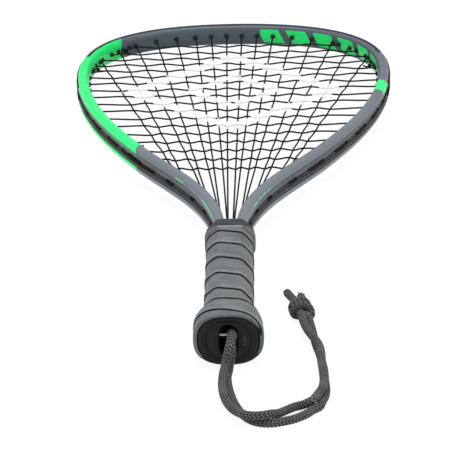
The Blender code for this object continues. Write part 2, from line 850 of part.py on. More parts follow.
def make_pin(kit):
    """The steel pin across the slot that the wrist cord loops round."""
    ring = handle_ring(pin_at, -tape_thickness - clearance * 1.6)
    reach = max(x for x, _, _ in ring) - clearance
    mesh = rod_mesh("cord_pin", (-reach, pin_at, 0), (reach, pin_at, 0), pin_diameter / 2, 10)
    new_object("cord_pin", mesh, kit.look("pin_steel", (0.75, 0.74, 0.7), 0.2, 1.0), kit.parent, kit.parts)


def tape_edge(turn):
    """Height of the helical seam after a number of turns from the right side of the butt."""
    return tape_first_edge + tape_pitch * turn


def tape_point(index, y, offset):
    """A point of the wrapped surface at one of the sixteen corners and middles."""
    return handle_ring(y, offset)[index % corner_count]


def make_tape(kit):
    """One ribbon wound up the handle in a helix, its edges a hair apart, cut level at both ends."""
    turns = (handle_length - tape_first_edge) / tape_pitch + 1
    rings = []
    for index in range(ceil(turns * corner_count)):
        turn = index / corner_count
        low = max(tape_edge(turn - 1) + tape_gap, tape_rim)
        high = min(tape_edge(turn), handle_length)
        on_flat = low > flare_start + flare_length
        if high - low < 1.5:
            break
        if on_flat and index % 2 == 0:
            continue
        middle = (low + high) / 2
        outer = [tape_point(index, y, 0) for y in (low, middle, high)]
        inner = [tape_point(index, y, -tape_thickness) for y in (high, middle, low)]
        rings.append(outer + inner)
    look = kit.look("grip_tape", (0.2, 0.2, 0.21), 0.55)
    new_object("grip_tape", loft_mesh("grip_tape", rings), look, kit.parent, kit.parts)


def make_collar(pattern, kit):
    """The rubber boot over the end of the pallets and the two legs, its rim dipped above and below."""
    start = handle_length + clearance
    pallet_end = handle_length + pallet_overlap + clearance
    wide = collar_width + collar_ridge
    tall = collar_height + collar_ridge
    outer = [octagon_ring(grip_width + 1.2, grip_height + 1.0, grip_flat, start)]
    outer.append(octagon_ring(wide, tall, grip_flat, start + collar_ridge_width / 2))
    outer.append(octagon_ring(collar_width, collar_height, grip_flat, start + collar_ridge_width))
    hug_width = 2 * (outer_wall_at(pattern, collar_end_at) + clearance * 1.6)
    rim_width = hug_width + collar_lip * 2
    rim = octagon_ring(rim_width, collar_rim_height, rim_width - grip_width + grip_flat - 1.4, collar_end_at)
    outer.append(dipped(rim))
    low_width = 2 * (outer_wall_at(pattern, pallet_end) + clearance * 2.5)
    hug_height = throat_height + clearance * 2
    inner = [dipped(octagon_ring(hug_width, hug_height, hug_width - collar_bevel, collar_end_at))]
    inner.append(octagon_ring(low_width, hug_height, low_width - collar_bevel, pallet_end))
    for y in (pallet_end, start):
        inner.append(octagon_ring(grip_width, grip_height, grip_flat, y, -tape_thickness))
    mesh = loft_mesh("grip_collar", outer + inner, closed=True)
    look = kit.look("collar_rubber", (0.075, 0.078, 0.085), 0.6)
    new_object("grip_collar", mesh, look, kit.parent, kit.parts)


def dipped(ring):
    """Pull a rim back towards the butt where it stands high above or below the string plane."""
    highest = max(z for _, _, z in ring)
    return [(x, y - collar_dip * (abs(z) / highest) ** 1.5, z) for x, y, z in ring]


# Wrist cord


def smooth_route(points, step):
    """Evenly spaced points of a smooth curve through hand-laid ones."""
    knots = [Vector(point) for point in points]
    knots = [knots[0] * 2 - knots[1]] + knots + [knots[-1] * 2 - knots[-2]]
    dense = []
    for a, b, c, d in zip(knots, knots[1:], knots[2:], knots[3:]):
        for part in range(12):
            t = part / 12
            dense.append(0.5 * (b * 2 + (c - a) * t + (a * 2 - b * 5 + c * 4 - d) * t * t
                                + (b * 3 - a - c * 3 + d) * t ** 3))
    dense.append(knots[-2])
    lengths = [0.0]
    for before, after in zip(dense, dense[1:]):
        lengths.append(lengths[-1] + (after - before).length)
    count = max(2, round(lengths[-1] / step))
    route = []
    index = 0
    for number in range(count + 1):
        goal = lengths[-1] * number / count
        while index < len(dense) - 2 and lengths[index + 1] < goal:
            index += 1
        share = (goal - lengths[index]) / (lengths[index + 1] - lengths[index])
        route.append(dense[index].lerp(dense[index + 1], min(max(share, 0.0), 1.0)))
    return route


def pin_loop():
    """The bend of the cord behind the pin, from above it to below it."""
    radius = pin_diameter / 2 + clearance + cord_diameter / 2
    x = strand_a[0][0]
    angles = [pi / 2 - pi * step / 6 for step in range(7)]
    return [Vector((x, pin_at + radius * cos(angle), radius * sin(angle))) for angle in angles]


def make_cord(kit):
    """The doubled cord: one tube from the knot, round the pin and back to the knot."""
    look = kit.look("cord_braid", (0.05, 0.052, 0.056), 0.8)
    first = smooth_route(strand_a, cord_step)
    second = smooth_route(strand_b, cord_step)
    points = first[::-1] + pin_loop() + second
    tube_curve("wrist_cord", points, cord_diameter, 2, look, kit.parent, kit.parts)


def make_cord_knot(kit):
    """The overhand knot of both strands with its two tails, as one plain body."""
    look = kit.look("cord_braid", (0.05, 0.052, 0.056), 0.8)
    shape = bmesh.new()
    bmesh.ops.create_uvsphere(shape, u_segments=12, v_segments=8, radius=0.5)
    centre = Vector(knot_at)
    for vert in shape.verts:
        vert.co = (Vector([vert.co[axis] * knot_size[axis] for axis in range(3)]) + centre) * metres_per_mm
    mesh = bpy.data.meshes.new("cord_knot")
    shape.to_mesh(mesh)
    shape.free()
    knot = new_object("cord_knot", mesh, look, kit.parent, kit.parts)
    tails = [tail_mesh(points) for points in (long_tail, short_tail)]
    for number, tail in enumerate(tails, 1):
        boolean(knot, cutter_object("cord_tail_%d" % number, tail, kit.parent, kit.cutters), "UNION")


def tail_mesh(points):
    rings = []
    for index, point in enumerate(points):
        before = Vector(points[max(index - 1, 0)])
        after = Vector(points[min(index + 1, len(points) - 1)])
        along = (after - before).normalized()
        side = along.cross(Vector((0, 0, 1))).normalized()
        up = side.cross(along)
        angles = [2 * pi * step / 8 for step in range(8)]
        radius = cord_diameter / 2
        rings.append([Vector(point) + (side * cos(a) + up * sin(a)) * radius for a in angles])
    return loft_mesh("tail", rings)


class Kit:
    """The collections, the parent empty and the materials that the pieces share."""

    def __init__(self):
        self.parts = bpy.data.collections.new("racquetball_racket")
        self.cutters = bpy.data.collections.new("cutters")
        for folder in (self.parts, self.cutters):
            bpy.context.scene.collection.children.link(folder)
        self.parent = bpy.data.objects.new("racket_axes", None)
        self.parts.objects.link(self.parent)
        self.parent.location = (0, -overall_length / 2 * metres_per_mm, flare_height / 2 * metres_per_mm)
        self.looks = {}
        slots = join_meshes("staple_slots", [staple_mesh(side, 0.2) for side in (1, -1)])
        self.staple_slots = cutter_object("staple_slots", slots, self.parent, self.cutters)

    def look(self, name, colour, roughness, metallic=0.0):
        if name not in self.looks:
            self.looks[name] = material(name, colour, roughness, metallic)
        return self.looks[name]


def main():
    remove_everything()
    kit = Kit()
    pattern = Pattern(Centreline())
    make_frame(pattern, kit)
    make_bumper(pattern, kit)
    make_strip(pattern, -1, kit)
    make_strip(pattern, 1, kit)
    make_bridge(pattern, kit)
    look = kit.look("string_polymer", (0.012, 0.012, 0.014), 0.35)
    tube_curve("main_string", main_string_points(pattern), string_diameter, 0, look, kit.parent, kit.parts)
    tube_curve("cross_string", cross_string_points(pattern), string_diameter, 0, look, kit.parent, kit.parts)
    make_tie_knots(pattern, kit)
    make_pallets(pattern, kit)
    make_cap(kit)
    make_staples(kit)
    make_pin(kit)
    make_tape(kit)
    make_collar(pattern, kit)
    make_cord(kit)
    make_cord_knot(kit)


main()
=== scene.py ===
# Racquetball racket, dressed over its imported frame.
# Shapes are worked out in millimetres in the racket's own axes: x across, y from the butt to the tip of
# the head, z up from the string plane. toRow turns a finished mesh into the frame's metres.
import bpy
import bmesh
from math import acos, ceil, cos, pi, radians, sin, sqrt
from mathutils import Matrix, Vector, kdtree, noise
from mathutils.geometry import interpolate_bezier


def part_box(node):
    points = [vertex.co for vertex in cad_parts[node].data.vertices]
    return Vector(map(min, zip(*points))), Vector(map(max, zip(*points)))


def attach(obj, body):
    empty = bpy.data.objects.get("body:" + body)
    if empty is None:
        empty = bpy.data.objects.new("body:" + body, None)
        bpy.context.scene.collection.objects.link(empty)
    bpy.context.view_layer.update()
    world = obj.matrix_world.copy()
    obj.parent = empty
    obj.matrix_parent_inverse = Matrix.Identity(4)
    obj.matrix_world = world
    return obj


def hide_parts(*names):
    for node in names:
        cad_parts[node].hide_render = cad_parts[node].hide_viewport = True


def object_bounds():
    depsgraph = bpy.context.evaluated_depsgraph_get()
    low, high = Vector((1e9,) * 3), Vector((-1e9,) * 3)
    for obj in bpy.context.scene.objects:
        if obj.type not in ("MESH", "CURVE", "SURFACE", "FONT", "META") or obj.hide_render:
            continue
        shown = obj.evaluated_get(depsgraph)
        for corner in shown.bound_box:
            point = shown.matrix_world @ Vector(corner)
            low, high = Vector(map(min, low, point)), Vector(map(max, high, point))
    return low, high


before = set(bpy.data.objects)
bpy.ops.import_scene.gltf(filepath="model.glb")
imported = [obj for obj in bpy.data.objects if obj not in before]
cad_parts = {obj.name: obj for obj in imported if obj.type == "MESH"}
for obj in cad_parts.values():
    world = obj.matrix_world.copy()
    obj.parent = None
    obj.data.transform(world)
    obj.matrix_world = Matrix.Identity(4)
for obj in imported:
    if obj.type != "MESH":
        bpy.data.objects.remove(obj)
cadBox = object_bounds()
print("frame loaded")

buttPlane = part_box("butt_cap")[0].y
stringPlane = (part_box("grip_tape")[0].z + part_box("grip_tape")[1].z) / 2
toRow = Matrix.Translation((0, buttPlane, stringPlane)) @ Matrix.Scale(0.001, 4)
fromRow = toRow.inverted()
upwards = Vector((0, 0, 1))


def mix(first, second, share):
    return first + (second - first) * share


def smoothstep(value):
    share = min(max(value, 0), 1)
    return share * share * (3 - 2 * share)


# Equal steps from 0 to the whole, both ends included
def shares(count, whole=1):
    return [whole * step / count for step in range(count + 1)]


# A point of a section across the handle
def polar(angle, reach, y=0):
    return Vector((reach * cos(angle), y, reach * sin(angle)))


def linked(name, data):
    made = bpy.data.objects.new(name, data)
    bpy.context.scene.collection.objects.link(made)
    return made


# Shader building

def shaderMath(operation):
    return lambda wire, *others: wire.maths(operation, *others)


# A shader socket that takes part in Python arithmetic
class Wire:
    def __init__(self, look, socket):
        self.look = look
        self.socket = socket

    def maths(self, operation, *others):
        feeds = enumerate((self,) + others)
        return self.look.node("ShaderNodeMath", feeds, operation=operation)

    __add__ = __radd__ = shaderMath("ADD")
    __mul__ = __rmul__ = shaderMath("MULTIPLY")
    __sub__ = shaderMath("SUBTRACT")
    __truediv__ = shaderMath("DIVIDE")
    __mod__ = shaderMath("FLOORED_MODULO")
    __pow__ = shaderMath("POWER")
    __abs__ = shaderMath("ABSOLUTE")
    __gt__ = shaderMath("GREATER_THAN")
    __lt__ = shaderMath("LESS_THAN")
    sine = shaderMath("SINE")
    root = shaderMath("SQRT")
    least = shaderMath("MINIMUM")
    most = shaderMath("MAXIMUM")

    def __rsub__(self, other):
        return (self * -1) + other

    # 0 below the first value, 1 above the second, straight between them
    def rise(self, low, high):
        feeds = {"From Min": low, "From Max": high, "Value": self}
        return self.look.node("ShaderNodeMapRange", feeds, clamp=True)

    def between(self, low, high, soft):
        return self.rise(low - soft, low) * (1 - self.rise(high, high + soft))

    # even waves between 0 and 1, one for every step
    def waves(self, step):
        return (self * (2 * pi / step)).sine() * 0.5 + 0.5


# The nodes of a new material, or of the world
class Look:
    def __init__(self, name, owner=None):
        self.material = owner or bpy.data.materials.new(name)
        self.material.use_nodes = True
        self.tree = self.material.node_tree

    def node(self, kind, feeds=(), output=0, **settings):
        made = self.tree.nodes.new(kind)
        for key, value in settings.items():
            setattr(made, key, value)
        for key, value in dict(feeds).items():
            self.feed(made.inputs[key], value)
        return Wire(self, made.outputs[output])

    def feed(self, socket, value):
        if isinstance(value, Wire):
            self.tree.links.new(value.socket, socket)
        elif socket.type == "RGBA":
            socket.default_value = (*value, 1)
        else:
            socket.default_value = value

    def place(self):
        return self.node("ShaderNodeTexCoord", output="Object")

    def uv(self):
        return self.node("ShaderNodeUVMap", uv_map="UVMap")

    def parts(self, vector):
        split = self.node("ShaderNodeSeparateXYZ", {0: vector})
        return [Wire(self, output) for output in split.socket.node.outputs]

    # Parts of the way round and along a swept piece
    def wrap(self):
        return self.parts(self.uv())[:2]

    # The place in millimetres in the racket's own axes
    def racketPlace(self):
        x, y, z = self.parts(self.place())
        return x * 1000, (y - buttPlane) * 1000, (z - stringPlane) * 1000

    def scaled(self, vector, scale):
        return self.node("ShaderNodeMapping", {"Vector": vector, "Scale": scale})

    def noise(self, scale, detail=2, roughness=0.5, vector=None):
        feeds = {"Vector": vector or self.place(), "Scale": scale, "Detail": detail, "Roughness": roughness}
        return self.node("ShaderNodeTexNoise", feeds)

    # Lays each coat's colour over the last one by its share
    def blend(self, base, *coats):
        for colour, share in coats:
            base = self.node("ShaderNodeMix", {0: share, 6: base, 7: colour}, 2, data_type="RGBA")
        return base

    def attribute(self, name):
        return self.node("ShaderNodeAttribute", output="Fac", attribute_name=name)

    # bump is the height of a relief, its strength and its depth in metres
    def finish(self, base, roughness, bump=None, **values):
        names = {"metallic": "Metallic", "coat": "Coat Weight", "coatRoughness": "Coat Roughness",
                 "sheen": "Sheen Weight", "sheenRoughness": "Sheen Roughness",
                 "specular": "Specular IOR Level"}
        inputs = self.tree.nodes["Principled BSDF"].inputs
        self.feed(inputs["Base Color"], base)
        self.feed(inputs["Roughness"], roughness)
        if bump:
            feeds = zip(("Height", "Strength", "Distance"), bump)
            self.feed(inputs["Normal"], self.node("ShaderNodeBump", feeds))
        for key, value in values.items():
            self.feed(inputs[names[key]], value)
        return self.material


# Mesh building

def newBmesh():
    bm = bmesh.new()
    bm.loops.layers.uv.new("UVMap")
    return bm


# Points nearer to each other than this are joined, in millimetres
weldGap = 0.0005


# Lays a grid over rows of points and joins its sides. around and along give each column's and row's UV.
def sweep(bm, rows, around=None, along=None, closedAlong=False):
    count = len(rows[0])
    spans = len(rows) if closedAlong else len(rows) - 1
    uvLayer = bm.loops.layers.uv["UVMap"]
    made = bmesh.ops.create_grid(bm, x_segments=count, y_segments=spans, size=0.5, calc_uvs=True)["verts"]
    for vert in made:
        for loop in vert.link_loops:
            u, v = loop[uvLayer].uv
            column = round(u * count)
            row = round(v * spans)
            loop[uvLayer].uv = (around[column] if around else u, along[row] if along else v)
        column = round((vert.co.x + 0.5) * count) % count
        row = round((vert.co.y + 0.5) * spans) % len(rows)
        vert.co = rows[row][column]
    bmesh.ops.remove_doubles(bm, verts=made, dist=weldGap)
    if not closedAlong:
        bmesh.ops.holes_fill(bm, edges=[edge for edge in bm.edges if edge.is_boundary])


# Directions round a full turn, from one side towards the other
def spokes(side, up, count):
    return [(angle, side * cos(angle) + up * sin(angle)) for angle in shares(count, 2 * pi)[:-1]]


# Rings round a path, carried along it without twist. radiusAt takes the distance and the angle.
def tubeRows(path, radiusAt, sides):
    rows = []
    travelled = 0
    tangent = (path[1] - path[0]).normalized()
    side = tangent.orthogonal().normalized()
    for index, point in enumerate(path):
        before = path[max(index - 1, 0)]
        after = path[min(index + 1, len(path) - 1)]
        turned = (after - before).normalized()
        side = tangent.rotation_difference(turned) @ side
        side = (side - turned * side.dot(turned)).normalized()
        tangent = turned
        travelled += (point - before).length
        ring = spokes(side, tangent.cross(side), sides)
        rows.append([point + spoke * radiusAt(travelled, angle) for angle, spoke in ring])
    return rows


def pathLengths(path):
    lengths = [0]
    for before, after in zip(path, path[1:]):
        lengths.append(lengths[-1] + (after - before).length)
    return lengths


# A tube whose UV counts columns round it and pitches along it
def tube(bm, path, radius, sides, columns=1, pitch=1):
    radiusAt = radius if callable(radius) else lambda travelled, angle: radius
    along = [length / pitch for length in pathLengths(path)]
    sweep(bm, tubeRows(path, radiusAt, sides), shares(sides, columns), along)


# Turns a profile of (reach, distance) points round an axis through a point
def lathe(bm, profile, centre, axis, steps, closed=False):
    side = axis.orthogonal().normalized()
    ring = spokes(side, axis.cross(side), steps)
    rows = [[centre + axis * height + spoke * reach for angle, spoke in ring] for reach, height in profile]
    sweep(bm, rows, closedAlong=closed)


def addPiece(name, bm, look, node, sharp=35):
    bmesh.ops.recalc_face_normals(bm, faces=bm.faces)
    bmesh.ops.transform(bm, matrix=toRow, verts=bm.verts)
    mesh = bpy.data.meshes.new(name)
    bm.to_mesh(mesh)
    bm.free()
    mesh.materials.append(look)
    mesh.shade_smooth()
    mesh.set_sharp_from_angle(angle=radians(sharp))
    piece = linked(name, mesh)
    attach(piece, "root")
    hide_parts(node)
    return piece


# Camera, solved from the photo: its target and distance in the racket's axes
camera = {
    "rise": radians(24.707), "yaw": radians(1.009), "roll": radians(-1.269),
    "distance": 1807.433,
    "target": Vector((-0.335, 167.185, 0)),
    "focalPixels": 2616.708, "imagePixels": 460, "sensor": 36, "near": 0.05, "far": 20,
}


def makeCamera():
    rise, yaw, roll = camera["rise"], camera["yaw"], camera["roll"]
    back = Vector((sin(yaw) * cos(rise), -cos(yaw) * cos(rise), sin(rise)))
    right = Vector((cos(yaw), sin(yaw), 0))
    up = right.cross(-back)
    across = right * cos(roll) + up * sin(roll)
    upward = up * cos(roll) - right * sin(roll)
    data = bpy.data.cameras.new("photoCamera")
    data.sensor_width = camera["sensor"]
    data.lens = camera["focalPixels"] / camera["imagePixels"] * camera["sensor"]
    data.clip_start = camera["near"]
    data.clip_end = camera["far"]
    turn = Matrix((across, upward, back)).transposed().to_4x4()
    turn.translation = toRow @ (camera["target"] + back * camera["distance"])
    eye = linked("photoCamera", data)
    eye.matrix_world = turn
    bpy.context.scene.camera = eye


makeCamera()
print("camera placed")

# Wrist cord: a loop round the pin whose two strands run to one knot

pin = {"at": 8.8, "radius": 1.4, "reach": 19.5, "gap": 0.3, "round": 0.3, "sides": 32}
cordShape = {
    "radius": 2.72, "slotSwell": 0.3, "swellTo": 14, "swellOver": 30, "columns": 10,
    "stitchLength": 2.2, "lean": 0.75, "stitchRound": 1.8, "columnRound": 3, "columnDip": 0.6,
    "relief": 0.4, "reliefLevel": 0.7, "sides": 60, "step": 0.36, "knotStep": 0.55,
    "loopSide": 2.2, "loopLean": 0.3, "onFloor": -16,
}
strandA = [(2.5, 4, 4.5), (2.3, -3.2, 4.1), (1.7, -7, 2.5), (0.9, -10, 0.5), (0, -12.2, -2.2),
           (-0.9, -13.8, -5.3), (-1.7, -15.6, -8.3), (-2.6, -19, -10.6), (-3.2, -24.8, -11.2),
           (-3.6, -31.2, -11.6), (-3.7, -36.7, -12.2), (-3.4, -42.2, -12.8), (-2.6, -48.2, -13.3),
           (-1.1, -55.3, -13.5), (1.1, -62, -13.4), (3.7, -67.7, -13), (7, -72.5, -12.4),
           (10.5, -76.6, -11.7), (14.4, -79.1, -11), (18.5, -80.1, -10.5), (22.4, -79.5, -10.4),
           (26.4, -76.8, -11.2), (31.2, -72.5, -13.1), (36, -64.7, -15.2), (41.1, -59.3, -16),
           (45.5, -58.7, -15.2), (49.3, -58.9, -13.4), (52.5, -57.9, -11.9), (55.4, -52.4, -11.2),
           (57.6, -47.7, -10.6), (59, -42, -10.4), (59.6, -35.2, -10.4), (59.6, -29.2, -10.5),
           (59.3, -21.8, -10.5), (58.8, -11.7, -10.5), (58.5, 2.7, -10.5), (58, 9.6, -10.5),
           (56.8, 15.3, -10.4), (54.8, 21.3, -10.3), (51.9, 29.8, -10.4), (49.4, 40.1, -10.8),
           (48, 49.2, -11)]
strandB = [(1.9, 0.6, -4.9), (1.7, -3, -6.4), (1.2, -6.3, -9.4), (0.5, -8.8, -12.8), (-0.1, -12.4, -15.2)]
strandB += [(x, y, cordShape["onFloor"]) for x, y in (
    (-0.8, -18.4), (-0.7, -24.4), (-0.1, -31.3), (0.7, -37.9), (2.1, -46), (4.1, -54.6), (6.9, -63.3),
    (9.5, -69.1), (12.9, -74), (17.2, -77.6), (22.4, -79.3), (27.5, -79.3), (33, -77.9), (40.9, -74.4),
    (48.3, -68.3), (51.7, -63.8), (56.2, -59.4), (58.2, -52.6), (60, -46.1), (60.7, -39.4), (60.7, -33.5),
    (60.4, -26.8), (60.3, -19.5), (60.1, -10.7), (59.1, -0.2), (57.7, 12.6), (56.4, 20.6), (55.4, 27.7),
    (54.7, 35.2))]
strandB += [(53.9, 42.4, -15.3), (52.9, 48.3, -14.2), (52.1, 53, -12.8)]


# An even path on a smooth curve through given points
def smoothPath(points, step):
    knots = [Vector(point) for point in points]
    knots = [knots[0] * 2 - knots[1]] + knots + [knots[-1] * 2 - knots[-2]]
    dense = []
    for a, b, c, d in zip(knots, knots[1:], knots[2:], knots[3:]):
        dense += interpolate_bezier(b, b + (c - a) / 6, c - (d - b) / 6, c, 24)[:-1]
    dense.append(knots[-2])
    lengths = pathLengths(dense)
    path = []
    index = 0
    for goal in shares(max(2, round(lengths[-1] / step)), lengths[-1]):
        while index < len(dense) - 2 and lengths[index + 1] < goal:
            index += 1
        share = (goal - lengths[index]) / max(lengths[index + 1] - lengths[index], 1e-9)
        path.append(dense[index].lerp(dense[index + 1], min(max(share, 0), 1)))
    return path


# Place across a column of stitches, and height over the cord's crevices, 0 to 1. The stitches of every
# second column lean the other way. Takes numbers for the mesh, or wires for its material.
def stitch(column, climb):
    shape = cordShape
    across = column % 1
    odd = 1 - (column % 2 < 1)
    lean = across + odd * (1 - across * 2)
    down = (climb + lean * shape["lean"]) % 1
    lift = 1 - abs(down * 2 - 1) ** shape["stitchRound"]
    return across, lift * (1 - abs(across * 2 - 1) ** shape["columnRound"] * shape["columnDip"])


def cordRadius(travelled, angle):
    lift = stitch(angle / (2 * pi) * cordShape["columns"], travelled / cordShape["stitchLength"])[1]
    return cordShape["radius"] + cordShape["relief"] * (lift - cordShape["reliefLevel"])


def braidedTube(bm, path, radiusAt):
    tube(bm, path, radiusAt, cordShape["sides"], cordShape["columns"], cordShape["stitchLength"])


def braidLook():
    look = Look("braidedCord")
    across, lift = stitch(*look.wrap())
    yarns = across.waves(1 / 3)
    fuzz = look.noise(1300, 3, 0.7)
    worn = look.noise(75, 2)
    # Crowns painted lighter and crevices near black: painted shade in the braid's crevices
    shade = lift * 0.85 + yarns * 0.06 + fuzz * 0.25
    x, y, _ = look.racketPlace()
    # Painted shade: the cord is painted near black where it lies inside the cap's slot
    slotShade = y.rise(-2, 3.5) * (x < 20)
    base = look.blend(
        (0.01, 0.0103, 0.011),
        ((0.18, 0.184, 0.19), shade.rise(0.3, 1.1)),
        ((0.27, 0.272, 0.276), (worn - 0.5).rise(0, 0.15) * lift * 0.35),
        ((0.002, 0.002, 0.002), slotShade * 0.97))
    relief = lift * 0.8 + yarns * 0.12 + fuzz * 0.2
    return look.finish(base, 0.74 + fuzz * 0.2, (relief, 0.8, 0.0003), specular=0.1, sheen=0.05,
                       sheenRoughness=0.5)


# The cord's way round the pin: the upper quarter turn and the lower one
def pinBend():
    reach = pin["radius"] + pin["gap"] + cordShape["radius"]
    middle = cordShape["loopSide"]
    upper = []
    for angle in shares(8, pi / 2):
        x = middle + cordShape["loopLean"] * sin(angle)
        upper.append(Vector((x, pin["at"] + reach * cos(angle), reach * sin(angle))))
    lower = [Vector((2 * middle - point.x, point.y, -point.z)) for point in upper]
    return upper, lower


# Stopper knot: one strand runs through it, the other winds round both and comes out beside it.
# Routes in the knot's own axes: along towards the tails, across to the right and up
knotShape = {
    "centre": Vector((47.2, 65.6, -11.8)),
    "heading": Vector((-0.22, 0.975, 0)),
    "radius": 2.62, "squeezeOver": 6, "looseEnd": 8, "endRound": 1.5, "endLeast": 0.004,
    "frayAt": Vector((46.9, 82.4, -9.6)),
    "frayCount": 15, "frayLength": 3.4, "frayShortest": 0.55, "frayRadius": 0.5,
    "fraySpread": 2.3, "frayTurn": 2.4, "frayRoot": 1.6,
}
knotRouteA = [(-4, -1.6, 0.4), (0.5, -1.2, -0.4), (3.8, 0.6, -2.6), (4.6, -1.8, -4), (4.2, -5, -1.6),
              (4, -5, 2), (4.3, -1.6, 4.4), (4.8, 2.6, 4), (4.4, 5.1, 1), (2.4, 4.8, -2.6),
              (0.4, 0.2, -4.2), (-1, -4.6, -2.6), (-1.8, -5.9, 0.8), (-2.2, -3.2, 4.1), (-2.8, 1.2, 4.8),
              (-4.4, 4.5, 2.8), (-6, 5.2, -0.6), (-5.2, 3.6, -3.2), (-1.5, 2, -2), (3, 2.2, -0.4),
              (7, 2.9, 0.9)]
knotRouteB = [(-4, 1.6, -0.6), (1, 0.6, 0.2), (6, -1.6, 0.4)]
longTail = [(42.9, 79.5, -12), (41.2, 87, -13.4), (39.6, 94, -14.9), (37.8, 101.2, -15.9)]
shortTail = [(48, 77.6, -10.2), (46.9, 83, -9.6)]


# Loose yarns at the short tail's cut end
def addFray(bm, heading, across):
    shape = knotShape
    for number in range(shape["frayCount"]):
        angle = shape["frayTurn"] * number
        reach = sqrt(number / shape["frayCount"]) * shape["fraySpread"]
        side = across * cos(angle) + upwards * sin(angle)
        start = shape["frayAt"] + side * reach - heading * shape["frayRoot"]
        length = shape["frayLength"] * mix(shape["frayShortest"], 1, sin(number * 1.7) ** 2)
        lean = (heading + side * (0.25 + 0.12 * reach)).normalized()
        path = [start + lean * length * share + side * 0.12 * share * share for share in shares(4)]
        tube(bm, path, lambda travelled, angle: shape["frayRadius"] * (1.05 - travelled / length) ** 0.7, 6)


def makeKnot(look):
    shape = knotShape
    heading = shape["heading"].normalized()
    across = heading.cross(upwards)
    upward = across.cross(heading)
    bm = newBmesh()
    for start, route, tail in ((strandA[-1], knotRouteA, shortTail), (strandB[-1], knotRouteB, longTail)):
        turns = [shape["centre"] + heading * a + across * b + upward * c for a, b, c in route]
        path = smoothPath([start, *turns, *tail], cordShape["knotStep"])
        total = pathLengths(path)[-1]

        def radiusAt(travelled, angle):
            left = total - travelled
            over = shape["squeezeOver"]
            squeeze = smoothstep(travelled / over) * smoothstep((left - shape["looseEnd"]) / over)
            reach = cordRadius(travelled, angle) - (cordShape["radius"] - shape["radius"]) * squeeze
            roundness = 1 - (1 - min(left / shape["endRound"], 1)) ** 2
            return reach * sqrt(max(roundness, shape["endLeast"]))

        braidedTube(bm, path, radiusAt)
    addFray(bm, heading, across)
    return addPiece("cordKnot", bm, look, "cord_knot", 180)


# The cord is a little fuller in the slot than outside it
def strandRadius(travelled, angle):
    gone = smoothstep((travelled - cordShape["swellTo"]) / cordShape["swellOver"])
    return cordRadius(travelled, angle) + cordShape["slotSwell"] * (1 - gone)


def makeCord():
    look = braidLook()
    upper, lower = pinBend()
    knot = makeKnot(look)
    for name, bend, strand, pieces in (("cordStrandA", upper, strandA, [knot]),
                                       ("cordStrandB", lower, strandB, [])):
        path = smoothPath(bend + strand, cordShape["step"])
        bm = newBmesh()
        braidedTube(bm, path, strandRadius)
        piece = addPiece(name, bm, look, "wrist_cord", 180)


makeCord()
print("wrist cord made")

# Outline of the tube's centreline and the size of its section
tubeShape = {
    "length": 558.8, "width": 247.6, "widestAt": 457.1, "flankAt": 299.6, "flankHalf": 70.4,
    "flankLean": radians(28.3), "legSpacing": 12.6, "legEndAt": 19.5, "mouthAt": 140,
    "growthAt": 150, "throatAt": 190, "thickness": 10, "legThickness": 7.4,
    "legHeight": 16.5, "throatHeight": 21, "tipHeight": 17, "power": 3,
    "channelDepth": 3.4, "channelHalf": 4.6, "stepAt": 423.5, "recess": 0.9, "rowStep": 3,
    # how far each stretch's ends pull it straight, as shares of its length, and its count of points
    "stretches": ((0.45, 0.34, 90), (0.15, 0.434, 90), (0.458, 0.456, 130)),
}


# A place on the tube's centreline, with half the tube's width and height there
class Station:
    def __init__(self, point, along, distance, side):
        self.point = Vector((point.x * side, point.y, 0))
        self.outward = Vector((along.y * side, -along.x, 0))
        self.distance = distance
        low, high = tubeShape["growthAt"], tubeShape["throatAt"]
        grown = smoothstep((point.y - low) / (high - low))
        rise = (point.y - high) / (tubeShape["length"] - high)
        self.wall = mix(tubeShape["legThickness"], tubeShape["thickness"], grown) / 2
        self.half = mix(tubeShape["legHeight"], tubeShape["throatHeight"], grown) / 2
        if rise > 0:
            self.half = mix(tubeShape["throatHeight"], tubeShape["tipHeight"], rise) / 2

    def at(self, reach, height=0):
        return self.point + self.outward * reach + upwards * height


